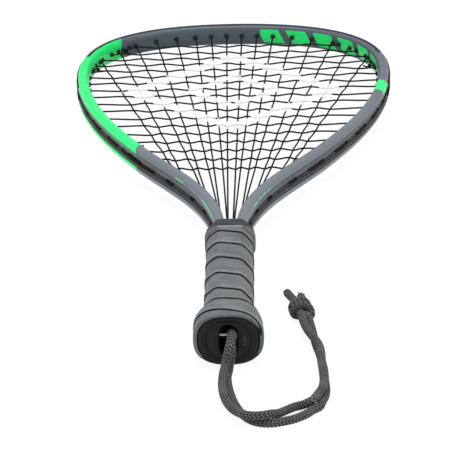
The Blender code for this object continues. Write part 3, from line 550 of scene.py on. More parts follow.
# The right half of the centreline, from the tip (distance 0) down to the end of the leg
class Outline:
    def __init__(self):
        shape = tubeShape
        legHalf = shape["legSpacing"] / 2
        corners = [(legHalf, shape["mouthAt"]), (shape["flankHalf"], shape["flankAt"]),
                   ((shape["width"] - shape["thickness"]) / 2, shape["widestAt"]),
                   (0, shape["length"] - shape["thickness"] / 2)]
        headings = [(0, 1), (sin(shape["flankLean"]), cos(shape["flankLean"])), (0, 1), (-1, 0)]
        corners = [Vector((*corner, 0)) for corner in corners]
        headings = [Vector((*heading, 0)) for heading in headings]
        points = [Vector((legHalf, shape["legEndAt"], 0))]
        for index, (leaving, arriving, count) in enumerate(shape["stretches"]):
            start, end = corners[index:index + 2]
            length = (end - start).length
            first, last = headings[index:index + 2]
            bend = (start + first * length * leaving, end - last * length * arriving)
            points += interpolate_bezier(start, *bend, end, count)[:-1]
        self.points = [corners[-1]] + points[::-1]
        self.lengths = pathLengths(self.points)
        self.total = self.lengths[-1]
        self.tree = kdtree.KDTree(len(self.points))
        for index, point in enumerate(self.points):
            self.tree.insert(point, index)
        self.tree.balance()

    def along(self, index):
        if index == 0:
            return Vector((-1, 0, 0))
        return (self.points[index - 1] - self.points[min(index + 1, len(self.points) - 1)]).normalized()

    def station(self, distance, side=1):
        index = 1
        while index < len(self.points) - 1 and self.lengths[index] < distance:
            index += 1
        share = (distance - self.lengths[index - 1]) / (self.lengths[index] - self.lengths[index - 1])
        point = self.points[index - 1].lerp(self.points[index], share)
        along = self.along(index - 1).lerp(self.along(index), share).normalized()
        return Station(point, along, distance, side)

    # distance from the tip and reach outwards of the nearest place on the centreline
    def nearest(self, point):
        flat = Vector((abs(point.x), point.y, 0))
        index = self.tree.find(flat)[1]
        along = self.along(index)
        offset = flat - self.points[index]
        return self.lengths[index] - offset.dot(along), offset.dot(Vector((along.y, -along.x, 0)))

    # distance from the tip of the first place below a level of y
    def distanceAt(self, y):
        return next(length for point, length in zip(self.points, self.lengths) if point.y < y)


outline = Outline()
stepDistance = outline.distanceAt(tubeShape["stepAt"])


# The station of the outline nearest to a point, on the point's own side
def stationOf(point):
    return outline.station(outline.nearest(point)[0], 1 if point.x > 0 else -1)


# Half width of a rounded section at a share of its half height
def bulge(wall, share):
    power = tubeShape["power"]
    return wall * max(1 - abs(share) ** power, 0) ** (1 / power)


# Rows of a section along the outline. A section gives its upper half as (reach, level), and marks left of
# the tip are below 0 where no side is given.
def outlineRows(marks, section, side=None):
    rows = []
    for mark in marks:
        station = outline.station(abs(mark), side or (-1 if mark < 0 else 1))
        upper = section(station)
        both = upper + [(reach, -level) for reach, level in reversed(upper)]
        rows.append([station.at(reach, level) for reach, level in both])
    return rows


# From the channel's floor over the lip and the top to the inner wall
def tubeSection(station):
    outer = station.wall - (tubeShape["recess"] if station.distance < stepDistance else 0)
    half = station.half
    edge = tubeShape["channelHalf"]
    lip = bulge(outer, edge / half)
    points = [(station.wall - tubeShape["channelDepth"], edge), (lip - 0.7, edge), (lip - 0.25, edge + 0.12)]
    power = 2 / tubeShape["power"]
    first = acos(min(bulge(1, (edge + 0.75) / half) ** (1 / power), 1))
    for share in shares(29):
        angle = mix(first, pi, share)
        wide = outer if angle < pi / 2 else -station.wall
        points.append((wide * abs(cos(angle)) ** power, half * sin(angle) ** power))
    points[-1] = (-station.wall, half * 0.12)
    return points


# Bands are parts of the way round the tube, from the channel's upper edge over the top and back below.
# Other places are millimetres along it from the tip, below 0 on the left.
paint = {
    "slate": (0.062, 0.083, 0.105),
    "slateLight": (0.13, 0.158, 0.185),
    # Painted light on the top facets
    "slateLit": (0.185, 0.212, 0.242),
    # Painted shade low on the inner wall
    "slateShade": (0.028, 0.04, 0.052),
    # Painted light on the legs
    "leg": (0.095, 0.142, 0.185),
    "green": (0, 0.7, 0.125),
    "greenLight": (0.03, 0.95, 0.26),
    # Painted light on the green's top facets and upper inner wall
    "greenLit": (0.035, 0.96, 0.24),
    "navy": (0.01, 0.018, 0.04),
    # Painted shade at the channel's upper lip
    "lip": (0.02, 0.024, 0.03),
    "channel": (0.035, 0.036, 0.039),
    "navyTo": 150,
    "greenLow": (-71, 304),
    "greenHigh": (-92.2, 520.3),
    "lowSlant": 14.5, "highSlant": 6,
    "patch": (206, 226),
    "blocks": (22, 168),
    "blockPitch": 24, "blockShare": 0.74,
    "dashes": ((-483, -452), (-418, -407), (432, 436), (440, 445), (449, 452),
               (458, 465)),
    "dashBand": (0.082, 0.105),
    "dashSlant": 90,
    "lipBand": (0.04, 0.064),
    "wallBand": (0.026, 0.974),
    "topBand": (0.16, 0.452),
    "insideBand": (0.36, 0.64),
    "legs": (360, 470),
}


def frameLook():
    look = Look("framePaint")
    around, along = look.wrap()
    level = look.racketPlace()[2] / 9
    far = abs(along)
    inside = around.between(*paint["insideBand"], 0.004)
    outwards = abs(around - 0.5) * 2
    low, high = (-outline.nearest(Vector((*paint[name], 0)))[0] for name in ("greenLow", "greenHigh"))
    aboveLow = (along + outwards * paint["lowSlant"]).rise(low - 0.2, low + 0.2)
    belowHigh = (along - outwards * paint["highSlant"]).rise(high + 0.2, high - 0.2)
    patch = (along - outwards * 8).between(*paint["patch"], 0.25) * around.rise(0.76, 0.74)
    bars = (along + level * 5 - paint["blocks"][0]) / paint["blockPitch"]
    barShape = (bars % 1).between(0.02, paint["blockShare"], 0.01)
    blocks = along.between(*paint["blocks"], 0.3) * barShape * inside * (abs(level) < 0.62)
    slanted = along + (around - sum(paint["dashBand"]) / 2) * paint["dashSlant"]
    dashes = sum(slanted.between(*ends, 0.25) for ends in paint["dashes"])
    dashes = dashes * around.between(*paint["dashBand"], 0.003)
    mask = (aboveLow * belowHigh).most(patch).most(blocks).most(dashes * 0.62)
    flakes = look.noise(2600, 2, 0.6)
    cloud = look.noise(26, 3, 0.55)
    # Mask of the top facets, which are painted lighter as painted light
    litTop = (outwards * 0.5).between(*paint["topBand"], 0.02)
    slate = look.blend(
        paint["slate"],
        (paint["slateLight"], (flakes - 0.42).rise(0, 0.35) * 0.3),
        (paint["slateLight"], (cloud - 0.5).rise(0, 0.4) * 0.12),
        # Painted light: the legs painted a lighter blue than the head
        (paint["leg"], far.rise(*paint["legs"]) * 0.85),
        # Painted light: the top facets painted lighter
        (paint["slateLit"], litTop * (far.rise(60, 300) * 0.6 + 0.3)),
        # Painted shade low on the inner wall and painted light high on it
        (paint["slateShade"], inside * level.rise(0.25, -0.9) * 0.6),
        (paint["slateLight"], inside * level.rise(0, 0.8) * 0.45))
    lime = look.blend(
        paint["green"],
        (paint["greenLight"], (flakes - 0.45).rise(0, 0.4) * 0.35),
        # Painted light: the green's top facets and upper inner wall painted lighter
        (paint["greenLit"], litTop * far.rise(60, 240)),
        (paint["greenLit"], inside * level.rise(-0.4, 0.6) * 0.4))
    tipward = far / paint["navyTo"]
    navy = around.rise(0.09, 0.1) * (0.277 - tipward * tipward * 0.035 - around).rise(0, 0.004)
    # The dark line at the channel's upper lip is painted shade
    base = look.blend(
        slate,
        (lime, mask),
        (paint["lip"], around.between(*paint["lipBand"], 0.004) * 0.8),
        (paint["channel"], 1 - around.between(*paint["wallBand"], 0.003)),
        (paint["navy"], navy * (1 - tipward.rise(0.98, 1))))
    peel = look.noise(420, 2, 0.5)
    relief = peel * 0.05 + flakes * 0.03 + mask * 0.25
    rough = 0.34 + cloud * 0.08 - mask * 0.03
    return look.finish(base, rough, (relief, 0.5, 0.00012), specular=0.25, coat=0.12, coatRoughness=0.2)


def makeFrame():
    step = tubeShape["rowStep"]
    marks = [step * count for count in range(1, int(outline.total / step))]
    marks = [mark for mark in marks if abs(mark - stepDistance) > 1]
    marks = sorted(marks + [stepDistance - 0.3, stepDistance + 0.3, outline.total])
    marks = [-mark for mark in reversed(marks)] + [0] + marks
    rows = outlineRows(marks, tubeSection)
    bm = newBmesh()
    sweep(bm, rows, shares(len(rows[0])), marks)
    addPiece("racketFrame", bm, frameLook(), "frame", 40)


makeFrame()
print("frame made")

# Strings, along the lines of their solids

stringShape = {
    "radius": 0.65, "sides": 10, "crossStops": 6, "bend": 1.3, "bendShare": 0.45,
    "sharpTurn": radians(22), "bedLevel": 1.4, "mainWave": 1.15, "crossWave": 0.61,
    "leastWave": 0.3, "insideReach": -5.5, "openBelow": 175,
    # reach of a hole's two mouths from the tube's centreline, and a hole's greatest length
    "holeFrom": -5.2, "holeTo": 2, "holeLength": 20,
}


# The middle line of a square tube of the frame, level by level from its start. The corners of a level are
# added in a fixed order, so that every run gives the same sum.
def threadPath(node, start):
    bm = bmesh.new()
    bm.from_mesh(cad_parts[node].data)
    bmesh.ops.remove_doubles(bm, verts=bm.verts, dist=0.00001)
    level = set(sorted(bm.verts, key=lambda vert: (vert.co - start).length)[:4])
    seen = set(level)
    path = []
    while level:
        corners = sorted(vert.co[:] for vert in level)
        path.append(fromRow @ (sum(map(Vector, corners), Vector()) / len(corners)))
        level = {edge.other_vert(vert) for vert in level for edge in vert.link_edges} - seen
        seen |= level
    bm.free()
    return path


def nodeMiddle(node):
    low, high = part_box(node)
    return (low + high) / 2


def isInside(point):
    return outline.nearest(point)[1] < stringShape["insideReach"] or point.y < stringShape["openBelow"]


# The bed's waves are cosines between crossings, and every sharp corner is rounded
def easedThread(points, waveShare):
    shape = stringShape
    for point in points:
        if isInside(point) and abs(point.z) < shape["bedLevel"]:
            point.z *= waveShare
    dense = [points[0]]
    for before, after in zip(points, points[1:]):
        waves = abs(after.z - before.z) > shape["leastWave"] and isInside(before)
        for share in shares(shape["crossStops"] if waves else 1)[1:]:
            spot = before.lerp(after, share)
            spot.z = mix(before.z, after.z, (1 - cos(pi * share)) / 2)
            dense.append(spot)
    eased = [dense[0]]
    for before, here, after in zip(dense, dense[1:], dense[2:]):
        if (here - before).angle(after - here, 0) < shape["sharpTurn"]:
            eased.append(here)
            continue
        shorter = min((here - before).length, (after - here).length)
        reach = min(shape["bend"], shorter * shape["bendShare"])
        start, end = (here + (spot - here).normalized() * reach for spot in (before, after))
        eased += [start, start.lerp(here, 0.5).lerp(here.lerp(end, 0.5), 0.5), end]
    return eased + [dense[-1]]


# Every mouth inside the tube at which a thread goes through it
def threadHoles(points):
    shape = stringShape
    holes = []
    for before, after in zip(points, points[1:]):
        inner, outer = sorted((outline.nearest(point)[1], tuple(point)) for point in (before, after))
        through = inner[0] < shape["holeFrom"] and outer[0] > shape["holeTo"]
        if through and (after - before).length < shape["holeLength"]:
            holes.append(Vector(inner[1]))
    return holes


stencil = {
    "at": 426.4,
    "outer": (88, 82),
    "inner": (40, 36),
    "stroke": 0.17,
    "ink": (0.8, 0.81, 0.82),
}


def stringLook():
    look = Look("stringPolymer")
    x, y, _ = look.racketPlace()
    outer, inner = (abs(x) / wide + abs(y - stencil["at"]) / long
                    for wide, long in (stencil["outer"], stencil["inner"]))
    ragged = look.noise(700, 2) * 0.02
    ring = (outer + ragged).between(1 - stencil["stroke"], 1, 0.006)
    core = (inner + ragged).between(1 - stencil["stroke"] * 1.6, 1, 0.01)
    worn = look.noise(900, 3, 0.7).rise(0.3, 0.36)
    mask = ring.most(core) * (worn * 0.15 + 0.85)
    around, along = look.wrap()
    twist = (around + along * 0.45).waves(1 / 6)
    grain = look.noise(1500, 2)
    base = look.blend(
        (0.002, 0.002, 0.0025),
        ((0.01, 0.01, 0.011), twist * 0.5 + grain * 0.3),
        (stencil["ink"], mask))
    relief = twist * 0.5 + grain * 0.3 + mask * 0.4
    return look.finish(base, 0.34 + mask * 0.36 + grain * 0.1, (relief, 0.35, 0.00006), specular=0.1)


def makeStrings():
    look = stringLook()
    holes = []
    for kind, knot in (("main", "tie_off_knot_1"), ("cross", "tie_off_knot_3")):
        path = threadPath(kind + "_string", nodeMiddle(knot))
        holes += threadHoles(path)
        bm = newBmesh()
        tube(bm, easedThread(path, stringShape[kind + "Wave"]), stringShape["radius"], stringShape["sides"])
        addPiece(kind + "Strings", bm, look, kind + "_string", 180)
        print(kind, "string,", len(path), "stations")
    return look, holes


stringMaterial, holeMouths = makeStrings()
print("strings made,", len(holeMouths), "holes")

# Grommets, strips and bumper in the tube's outer channel

channel = {
    "gap": 0.3, "strip": 0.7, "shelf": 2.1, "shelfFrom": 2.45, "bumper": 0.6,
    "lipShare": 0.58, "grooveHalf": 2.6, "stripEndAt": 177, "rowStep": 3,
    "barrelSteps": 18,
}
# reach from the axis, distance inwards from the tube's inner wall
barrelProfile = [(0.7, -6), (1.5, -6), (1.5, 0.05), (1.8, 0.12), (2, 0.35), (2, 0.75), (1.84, 1.05),
                 (1.5, 1.2), (1.2, 1.1), (1.05, 0.9), (0.7, 0.85)]


# A grommet barrel in every hole of the piece's own stretch. The attribute marks its open mouth.
def addBarrels(bm, isOwn):
    mouth = bm.verts.layers.float["mouth"]
    for station in map(stationOf, holeMouths):
        if not isOwn(station):
            continue
        inwards = -station.outward
        centre = station.at(-station.wall)
        count = len(bm.verts)
        lathe(bm, barrelProfile, centre, inwards, channel["barrelSteps"], closed=True)
        bm.verts.ensure_lookup_table()
        for vert in bm.verts[count:]:
            depth = (vert.co - centre).dot(inwards)
            reach = (vert.co - centre - inwards * depth).length
            vert[mouth] = 1 if depth > 0.5 and reach < 1.1 else -1


def nylonLook(name, base, light):
    look = Look(name)
    around, along = look.wrap()
    rib = abs((along / 1.3 + around * 2.2) % 1 - 0.5) * 2
    grain = look.noise(1400, 3, 0.6)
    cloud = look.noise(90, 2)
    shade = rib * 0.5 + grain * 0.35 + cloud * 0.2
    level = look.racketPlace()[2]
    drift = look.noise(1, 2, 0.5, look.scaled(look.uv(), (0, 0.09, 1))) - 0.5
    # A black line painted along the strings' groove: the string and painted shadow in the groove
    line = 1 - abs(level + 0.4 + drift * 1.2).rise(0.5, 0.8)
    # The grommets' mouths are painted a lighter grey-brown as a painted highlight, the rest of each barrel
    # black
    barrel = look.attribute("mouth")
    colour = look.blend(
        base,
        (light, shade.rise(0.25, 0.95)),
        (base, level.rise(-0.6, -1.4) * 0.8),
        ((0.002, 0.002, 0.002), line * 0.95),
        ((0.005, 0.005, 0.006), (barrel * -1).rise(0.2, 0.6)),
        ((0.22, 0.19, 0.165), barrel.rise(0.3, 0.9)))
    relief = rib * 0.7 + grain * 0.2
    return look.finish(colour, 0.42 + grain * 0.18, (relief, 0.7, 0.0003), specular=0.2)


def addChannelPiece(name, look, node, marks, section, ribs, isOwn, side=None):
    rows = outlineRows(marks, section, side)
    bm = newBmesh()
    bm.verts.layers.float.new("mouth")
    sweep(bm, rows, shares(len(rows[0]), ribs), marks)
    addBarrels(bm, isOwn)
    addPiece(name, bm, look, node, 40)


def channelFloor(station):
    return station.wall - tubeShape["channelDepth"] + channel["gap"]


def stripSection(station):
    floorAt = channelFloor(station)
    edge = tubeShape["channelHalf"] - channel["gap"]
    face = floorAt + channel["strip"]
    shelf = floorAt + channel["shelf"]
    groove = channel["shelfFrom"]
    return [(floorAt, edge - 0.1), (shelf - 0.2, edge), (shelf, edge - 0.15), (shelf + 0.02, edge - 0.6),
            (shelf, groove + 0.25), (shelf - 0.2, groove), (face + 0.1, groove - 0.1), (face, groove - 0.3),
            (face, 0.8)]


def makeStrips():
    look = nylonLook("grommetNylon", (0.085, 0.087, 0.091), (0.25, 0.254, 0.26))
    end = outline.distanceAt(channel["stripEndAt"])
    start = stepDistance + channel["gap"]
    marks = [start + reach for reach in shares(ceil((end - start) / channel["rowStep"]), end - start)]
    for side, hand in ((-1, "Left"), (1, "Right")):
        addChannelPiece("grommetStrip" + hand, look, "grommet_strip_" + hand.lower(), marks,
                        stripSection, 13,
                        lambda station: station.distance > stepDistance and station.point.x * side > 0, side)


def bumperSection(station):
    wall = station.wall
    half = station.half
    inner = wall - channel["bumper"] - channel["gap"]
    floorAt = channelFloor(station)
    face = floorAt + channel["strip"]
    groove = channel["grooveHalf"]
    lip = channel["lipShare"]
    edge = tubeShape["channelHalf"] - channel["gap"]
    crown = bulge(wall, groove / half)
    upper = [(face, 0.5), (face, groove - 0.3), (face + 0.3, groove), (crown - 0.5, groove + 0.02),
             (crown - 0.12, groove + 0.15), (crown, groove + 0.5)]
    for share in shares(8)[1:]:
        share = mix((groove + 0.5) / half, lip - 0.02, share)
        upper.append((bulge(wall, share), share * half))
    low = bulge(inner, lip) + channel["gap"]
    top = bulge(wall, lip)
    upper += [(mix(low, top, 0.75), lip * half + 0.22), (mix(low, top, 0.35), lip * half + 0.2),
              (low, lip * half - 0.1), (bulge(inner, edge / half) + channel["gap"], edge), (floorAt, edge)]
    return upper


def makeBumper():
    look = nylonLook("bumperPlastic", (0.008, 0.01, 0.017), (0.03, 0.036, 0.055))
    end = stepDistance - channel["gap"] * 2
    count = ceil(end / channel["rowStep"])
    marks = [end * step / count for step in range(-count, count + 1)]
    addChannelPiece("bumperGuard", look, "bumper_guard", marks, bumperSection, 20,
                    lambda station: station.distance < stepDistance)


makeStrips()
makeBumper()
print("strips and bumper made")

# Knots that end the strings: turns of string round the string itself, with a cut tag end

tieKnot = {
    "wrapRadius": 1.15, "turns": 1.6, "rise": 1.6, "sides": 8, "tag": 4.8, "tagStraight": 1.5,
    "core": (-1.9, 0, 1.5), "coreShare": 0.95,
}


def makeTieKnots():
    for number in range(1, 5):
        node = "tie_off_knot_%d" % number
        middle = fromRow @ nodeMiddle(node)
        inwards = -stationOf(middle).outward
        along = inwards.cross(upwards)
        path = []
        for share in shares(29):
            angle = 2 * pi * tieKnot["turns"] * share
            ring = (along * cos(angle) + upwards * sin(angle)) * tieKnot["wrapRadius"]
            path.append(middle + inwards * tieKnot["rise"] * (share - 0.5) + ring)
        last = path[-1]
        leave = (last - path[-2]).normalized()
        lean = (inwards * 0.5 + upwards * 0.8 + leave * 0.6).normalized()
        path += [last + leave * share * tieKnot["tagStraight"] + lean * tieKnot["tag"] * share * share
                 for share in shares(6)[1:]]
        bm = newBmesh()
        tube(bm, path, stringShape["radius"], tieKnot["sides"])
        core = [middle + inwards * reach for reach in tieKnot["core"]]
        tube(bm, core, stringShape["radius"] * tieKnot["coreShare"], tieKnot["sides"])
        addPiece("tieKnot%d" % number, bm, stringMaterial, node, 180)


makeTieKnots()
print("tie knots made")

# Handle

gripShape = {
    "width": 32.4, "height": 27.8, "bevelReach": 15.84, "round": 18, "flareWidth": 45.2,
    "flareHeight": 37.6, "flarePower": 2.5, "flareStart": 13.5, "flareLength": 28,
    # turns of the tape and the place of its upper edge there
    "edges": ((-0.75, -19), (0.05, 0.9), (0.25, 6.9), (1.25, 29.7), (2.25, 47.4), (3.25, 70.1),
              (4.25, 94.2), (5.25, 117), (6.25, 136.2), (7.5, 160.7)),
    "seam": 0.45, "rim": 0.8, "setBack": 3.4, "thickness": 1.9, "top": 143.6,
    "narrowest": 0.25, "turnSteps": 90, "turnLength": 100, "mouthRoll": 5, "mouthDepth": 0.9,
    "roll": 1.5, "lowerRoll": 0.5, "upperRoll": 0.2, "lift": 0.4, "sink": 0.52,
    "settle": 0.12, "pucker": 0.144, "finePucker": 0.063, "gather": 0.3,
    "bareLeft": 0.15, "bareRight": 0.23, "bareFrom": 0.62, "bareOver": 0.33,
    # shares of the tape's width on its outer face and back on its inner face, and the UV of the latter
    "outer": (0, 0.012, 0.03, 0.055, 0.09, 0.15, 0.22, 0.32, 0.42, 0.52, 0.62, 0.72, 0.8, 0.87, 0.92,
              0.955, 0.98, 1),
    "inner": (1, 0.6, 0.3, 0.1, 0),
    "outerWidth": 21.8, "innerAt": (22, 24, 26, 28, 29, 30),
}


# Reach of an eight-sided outline with rounded corners, in a direction of its section
def octagonReach(angle, width, height, bevel, power, offset=0):
    slant = sqrt(0.5)
    total = 0
    sides = ((1, 0, width / 2), (0, 1, height / 2), (slant, slant, bevel), (-slant, slant, bevel))
    for x, z, reach in sides:
        total += (abs(cos(angle) * x + sin(angle) * z) / (reach + offset)) ** power
    return total ** (-1 / power)


# The wrapped handle's outside: an oval flare at the butt that turns into the octagon of the grip
def gripReach(angle, y, offset=0):
    shape = gripShape
    eight = octagonReach(angle, shape["width"], shape["height"], shape["bevelReach"], shape["round"], offset)
    power = shape["flarePower"]
    flare = ((abs(cos(angle)) / (shape["flareWidth"] / 2 + offset)) ** power
             + (abs(sin(angle)) / (shape["flareHeight"] / 2 + offset)) ** power) ** (-1 / power)
    return mix(flare, eight, smoothstep((y - shape["flareStart"]) / shape["flareLength"]))


# Place along the handle of the tape's upper edge after a number of turns
def tapeEdge(turn):
    edges = gripShape["edges"]
    for (before, low), (after, high) in zip(edges, edges[1:]):
        if turn < after:
            return mix(low, high, (turn - before) / (after - before))
    return edges[-1][1]


# The handle's outside curls in towards the cap's face
def mouthDrop(y):
    return gripShape["mouthDepth"] * max(1 - y / gripShape["mouthRoll"], 0) ** 2


# 1 where the cap's rim is bare of tape, below and at both sides, and 0 over the top
def bareRim(angle):
    shape = gripShape
    sideways = max(shape["bareRight"] * cos(angle), -shape["bareLeft"] * cos(angle))
    return smoothstep((sideways - sin(angle) - shape["bareFrom"]) / shape["bareOver"])


# Each turn of the tape overlaps the one below it, so its lower edge stands proud and its upper edge sinks
def tapeOffset(low, high, y, turn):
    shape = gripShape
    share = min(max((y - low) / max(high - low, 0.1), 0), 1)
    lift = mix(shape["lift"], -shape["sink"], share) * smoothstep(turn / 0.3)
    edge = shape["lowerRoll"] * max(1 - (y - low) / shape["roll"], 0) ** 2.5
    edge += shape["upperRoll"] * max(1 - (high - y) / shape["roll"], 0) ** 2
    spot = polar(2 * pi * turn, 2.2, y * 0.16)
    pucker = noise.noise(spot) * shape["pucker"] + noise.noise(spot * 3.1) * shape["finePucker"]
    gather = noise.noise(Vector((turn * 26, y * 0.12, 3))) * max(1 - abs(high - y - 3) / 4, 0)
    return lift - edge + pucker + gather * shape["gather"] - shape["settle"] - mouthDrop(y)


def tapeLook():
    look = Look("gripTape")
    around, along = look.wrap()
    twill = (around + along * 0.8).waves(0.62)
    cross = (around * 0.9 - along * 0.9).waves(0.7)
    grain = look.noise(1700, 3, 0.65)
    cloud = look.noise(70, 4, 0.6)
    streak = look.noise(1, 4, 0.65, look.scaled(look.uv(), (0.75, 0.05, 1)))
    # Painted shade in the seams between the turns
    seamShade = 1 - look.attribute("edge").rise(0.35, 1)
    # Painted highlight in patches along each turn's raised lower edge
    crown = around.between(1.1, 2.6, 1) * (streak - 0.2).rise(0.15, 0.45)
    shade = cloud * 0.4 + streak * 0.45 + grain * 0.15
    base = look.blend(
        (0.082, 0.09, 0.096), ((0.232, 0.25, 0.262), shade.rise(0.34, 0.68)),
        ((0.37, 0.375, 0.375), crown * 0.55), ((0.006, 0.006, 0.006), seamShade * 0.95))
    relief = twill * 0.22 + cross * 0.12 + grain * 0.4 + cloud * 0.3 + streak * 1.6
    rough = 0.46 + grain * 0.14 - (streak - 0.5).rise(0, 0.3) * 0.08
    return look.finish(base, rough, (relief, 0.6, 0.0003), specular=0.2, sheen=0.05, sheenRoughness=0.4)


def makeTape():
    shape = gripShape
    outer = shape["outer"]
    rows = []
    along = []
    turn = 0
    while not rows or high - low > shape["narrowest"]:
        turn += 1 / shape["turnSteps"]
        angle = 2 * pi * turn
        low = max(tapeEdge(turn - 1) + shape["seam"], shape["rim"] + shape["setBack"] * bareRim(angle))
        high = min(tapeEdge(turn), shape["top"])
        if high - low < shape["narrowest"]:
            continue
        row = []
        for share in outer + shape["inner"]:
            y = mix(low, high, share)
            isOuter = len(row) < len(outer)
            offset = tapeOffset(low, high, y, turn) if isOuter else -shape["thickness"] - mouthDrop(y)
            row.append(polar(angle, gripReach(angle, y, offset), y))
        rows.append(row)
        along.append(turn * shape["turnLength"])
    around = [share * shape["outerWidth"] for share in outer] + [*shape["innerAt"]]
    bm = newBmesh()
    sweep(bm, rows, around, along)
    # Distance to the nearest seam, by which the tape's material paints shade into the seams
    layer = bm.verts.layers.float.new("edge")
    for vert in bm.verts:
        place = (Vector((vert.co.x, vert.co.z)).angle_signed(Vector((1, 0)), 0) / (2 * pi)) % 1
        gaps = [tapeEdge(count + place) + shape["seam"] / 2 - vert.co.y for count in range(7)]
        vert[layer] = min(gap * 0.75 if gap > 0 else gap * -1.6 for gap in gaps)
    addPiece("gripTape", bm, tapeLook(), "grip_tape", 50)


makeTape()
print("grip tape made")

# Butt cap with its cord slot and the pin

capShape = {
    "points": 96, "slotHalf": 5.8, "slotStraight": 5,
    "ringRadius": 13.75, "ringHalf": 0.45, "ringDepth": 0.25, "inset": 2.38,
    "lipInset": 0.5, "rimRound": 2, "markAt": 10.2,
    # how far the slot's wall has grown at places from its floor to the cap's face
    "slotWall": ((0, 18.6), (0, 12), (0, 6), (0, 1.2), (0, 0.7), (0.08, 0.35), (0.3, 0.1), (0.7, 0),
                 (1.4, 0)),
    "skirt": (2.4, 2.8, 3.2, 3.6, 4, 4.4, 4.8, 5.5, 8, 14, 20, 26, 30, 34, 38, 42, 47),
}


def slotReach(angle, grow):
    half = capShape["slotHalf"] + grow
    straight = capShape["slotStraight"]
    reach = half / max(abs(cos(angle)), 1e-6)
    if reach * abs(sin(angle)) <= straight:
        return reach
    return straight * abs(sin(angle)) + sqrt(max(half * half - (straight * cos(angle)) ** 2, 0))


# The cap's reach: a little inside the tape, or nearly flush with it where the rim is bare
def capReach(angle, y, level=None):
    bare = bareRim(angle)
    lip = smoothstep(bare / 0.12) * smoothstep((0.6 + gripShape["setBack"] * bare - y) / 0.5)
    inset = mix(-capShape["inset"] - mouthDrop(y), -capShape["lipInset"] - mouthDrop(y) * 0.4, lip)
    return gripReach(angle, y if level is None else level, inset)


def capRows():
    shape = capShape
    edge = shape["rimRound"]
    half = shape["ringHalf"]
    rows = []

    def addRing(y, reachAt):
        rows.append([polar(angle, reachAt(angle), y) for angle in shares(shape["points"], 2 * pi)[:-1]])

    for grow, y in shape["slotWall"]:
        addRing(y, lambda angle: slotReach(angle, grow))
    for shift, y in ((-half - 0.12, 0), (-half, 0.06), (0, shape["ringDepth"]), (half, 0.06),
                     (half + 0.12, 0)):
        addRing(y, lambda angle: shape["ringRadius"] + shift)
    addRing(0, lambda angle: capReach(angle, 0) - edge - 0.6)
    for turn in shares(6, pi / 2):
        y = edge * (1 - cos(turn))
        addRing(y, lambda angle: capReach(angle, y, 0) - edge * (1 - sin(turn)))
    for y in shape["skirt"]:
        addRing(y, lambda angle: capReach(angle, y))
    for y in (shape["skirt"][-1], shape["slotWall"][0][1]):
        addRing(y, lambda angle: gripReach(angle, 100, -2) + 0.1)
    return rows


def capLook():
    look = Look("capPlastic")
    grain = look.noise(1900, 3, 0.6)
    cloud = look.noise(120, 3, 0.6)
    x, y, z = look.racketPlace()
    onFace = y < 0.9
    groove = 1 - abs((x * x + z * z).root() - capShape["ringRadius"]).rise(0.2, 0.7)
    columns = (z / 1.8 % 1).between(0.25, 0.5, 0.08) * (abs(z - 0.3) < 3.6)
    broken = look.noise(1100, 1).rise(0.42, 0.5)
    mark = columns * (abs(x - capShape["markAt"]) < 0.9) * onFace * broken
    base = look.blend(
        (0.008, 0.01, 0.012), ((0.022, 0.026, 0.03), cloud * 0.55 + grain * 0.35),
        ((0.004, 0.005, 0.006), groove * onFace * 0.35), ((0.26, 0.29, 0.32), mark * 0.55))
    relief = grain * 0.4 + cloud * 0.3 + mark * 0.3
    return look.finish(base, 0.4 + grain * 0.12, (relief, 0.35, 0.00015), specular=0.15)


def pinLook():
    look = Look("pinSteel")
    brushed = look.noise(2400, 3, 0.5, look.scaled(look.place(), (0.05, 1, 1)))
    base = look.blend((0.55, 0.54, 0.5), ((0.78, 0.77, 0.72), brushed))
    return look.finish(base, 0.22 + brushed * 0.15, (brushed, 0.2, 0.00005), metallic=1)


def makeCap():
    bm = newBmesh()
    sweep(bm, capRows(), closedAlong=True)
    addPiece("buttCap", bm, capLook(), "butt_cap", 50)
    reach, radius, edge = pin["reach"], pin["radius"], pin["round"]
    half = [(0, reach), (radius - edge, reach), (radius, reach - edge), (radius, 5)]
    profile = [(out, -along) for out, along in half] + half[::-1]
    bm = newBmesh()
    lathe(bm, profile, Vector((0, pin["at"], 0)), Vector((1, 0, 0)), pin["sides"])
    addPiece("cordPin", bm, pinLook(), "cord_pin", 40)


makeCap()
print("butt cap made")

# Collar over the tape's end and the two legs

collarShape = {
    "start": 143.9, "points": 96, "rimWidth": 28.8, "rimHeight": 28, "bevelShare": 0.532,
    "rimBevelShare": 0.566, "width": 33.8, "height": 29, "dip": 15.6, "cheek": 7,
    "end": 171, "hug": 0.1, "round": 26, "ridgeAt": 168, "ridgeDip": 19.1,
    # reach outwards of the sleeve at its hem, and place along it
    "hem": ((-1.5, 0), (-1.15, 0.05), (-0.75, 0.5), (-0.3, 1.1), (0.1, 1.5), (0.42, 2), (0.5, 2.6),
            (0.4, 3.1), (0.1, 3.5), (0, 4.1), (0, 5.5), (0, 7.5)),
    # growth of the inside, place along it from the end, and share of the dip
    "inside": ((0.6, 0.1, 1), (0, -0.4, 1), (0, -8.5, 0.78), (0, -15, 0.4), (0, -21.6, 0)),
    "hugHeight": 21.6, "sleeve": (28.6, 24), "sleeveEnd": 148.9,
}


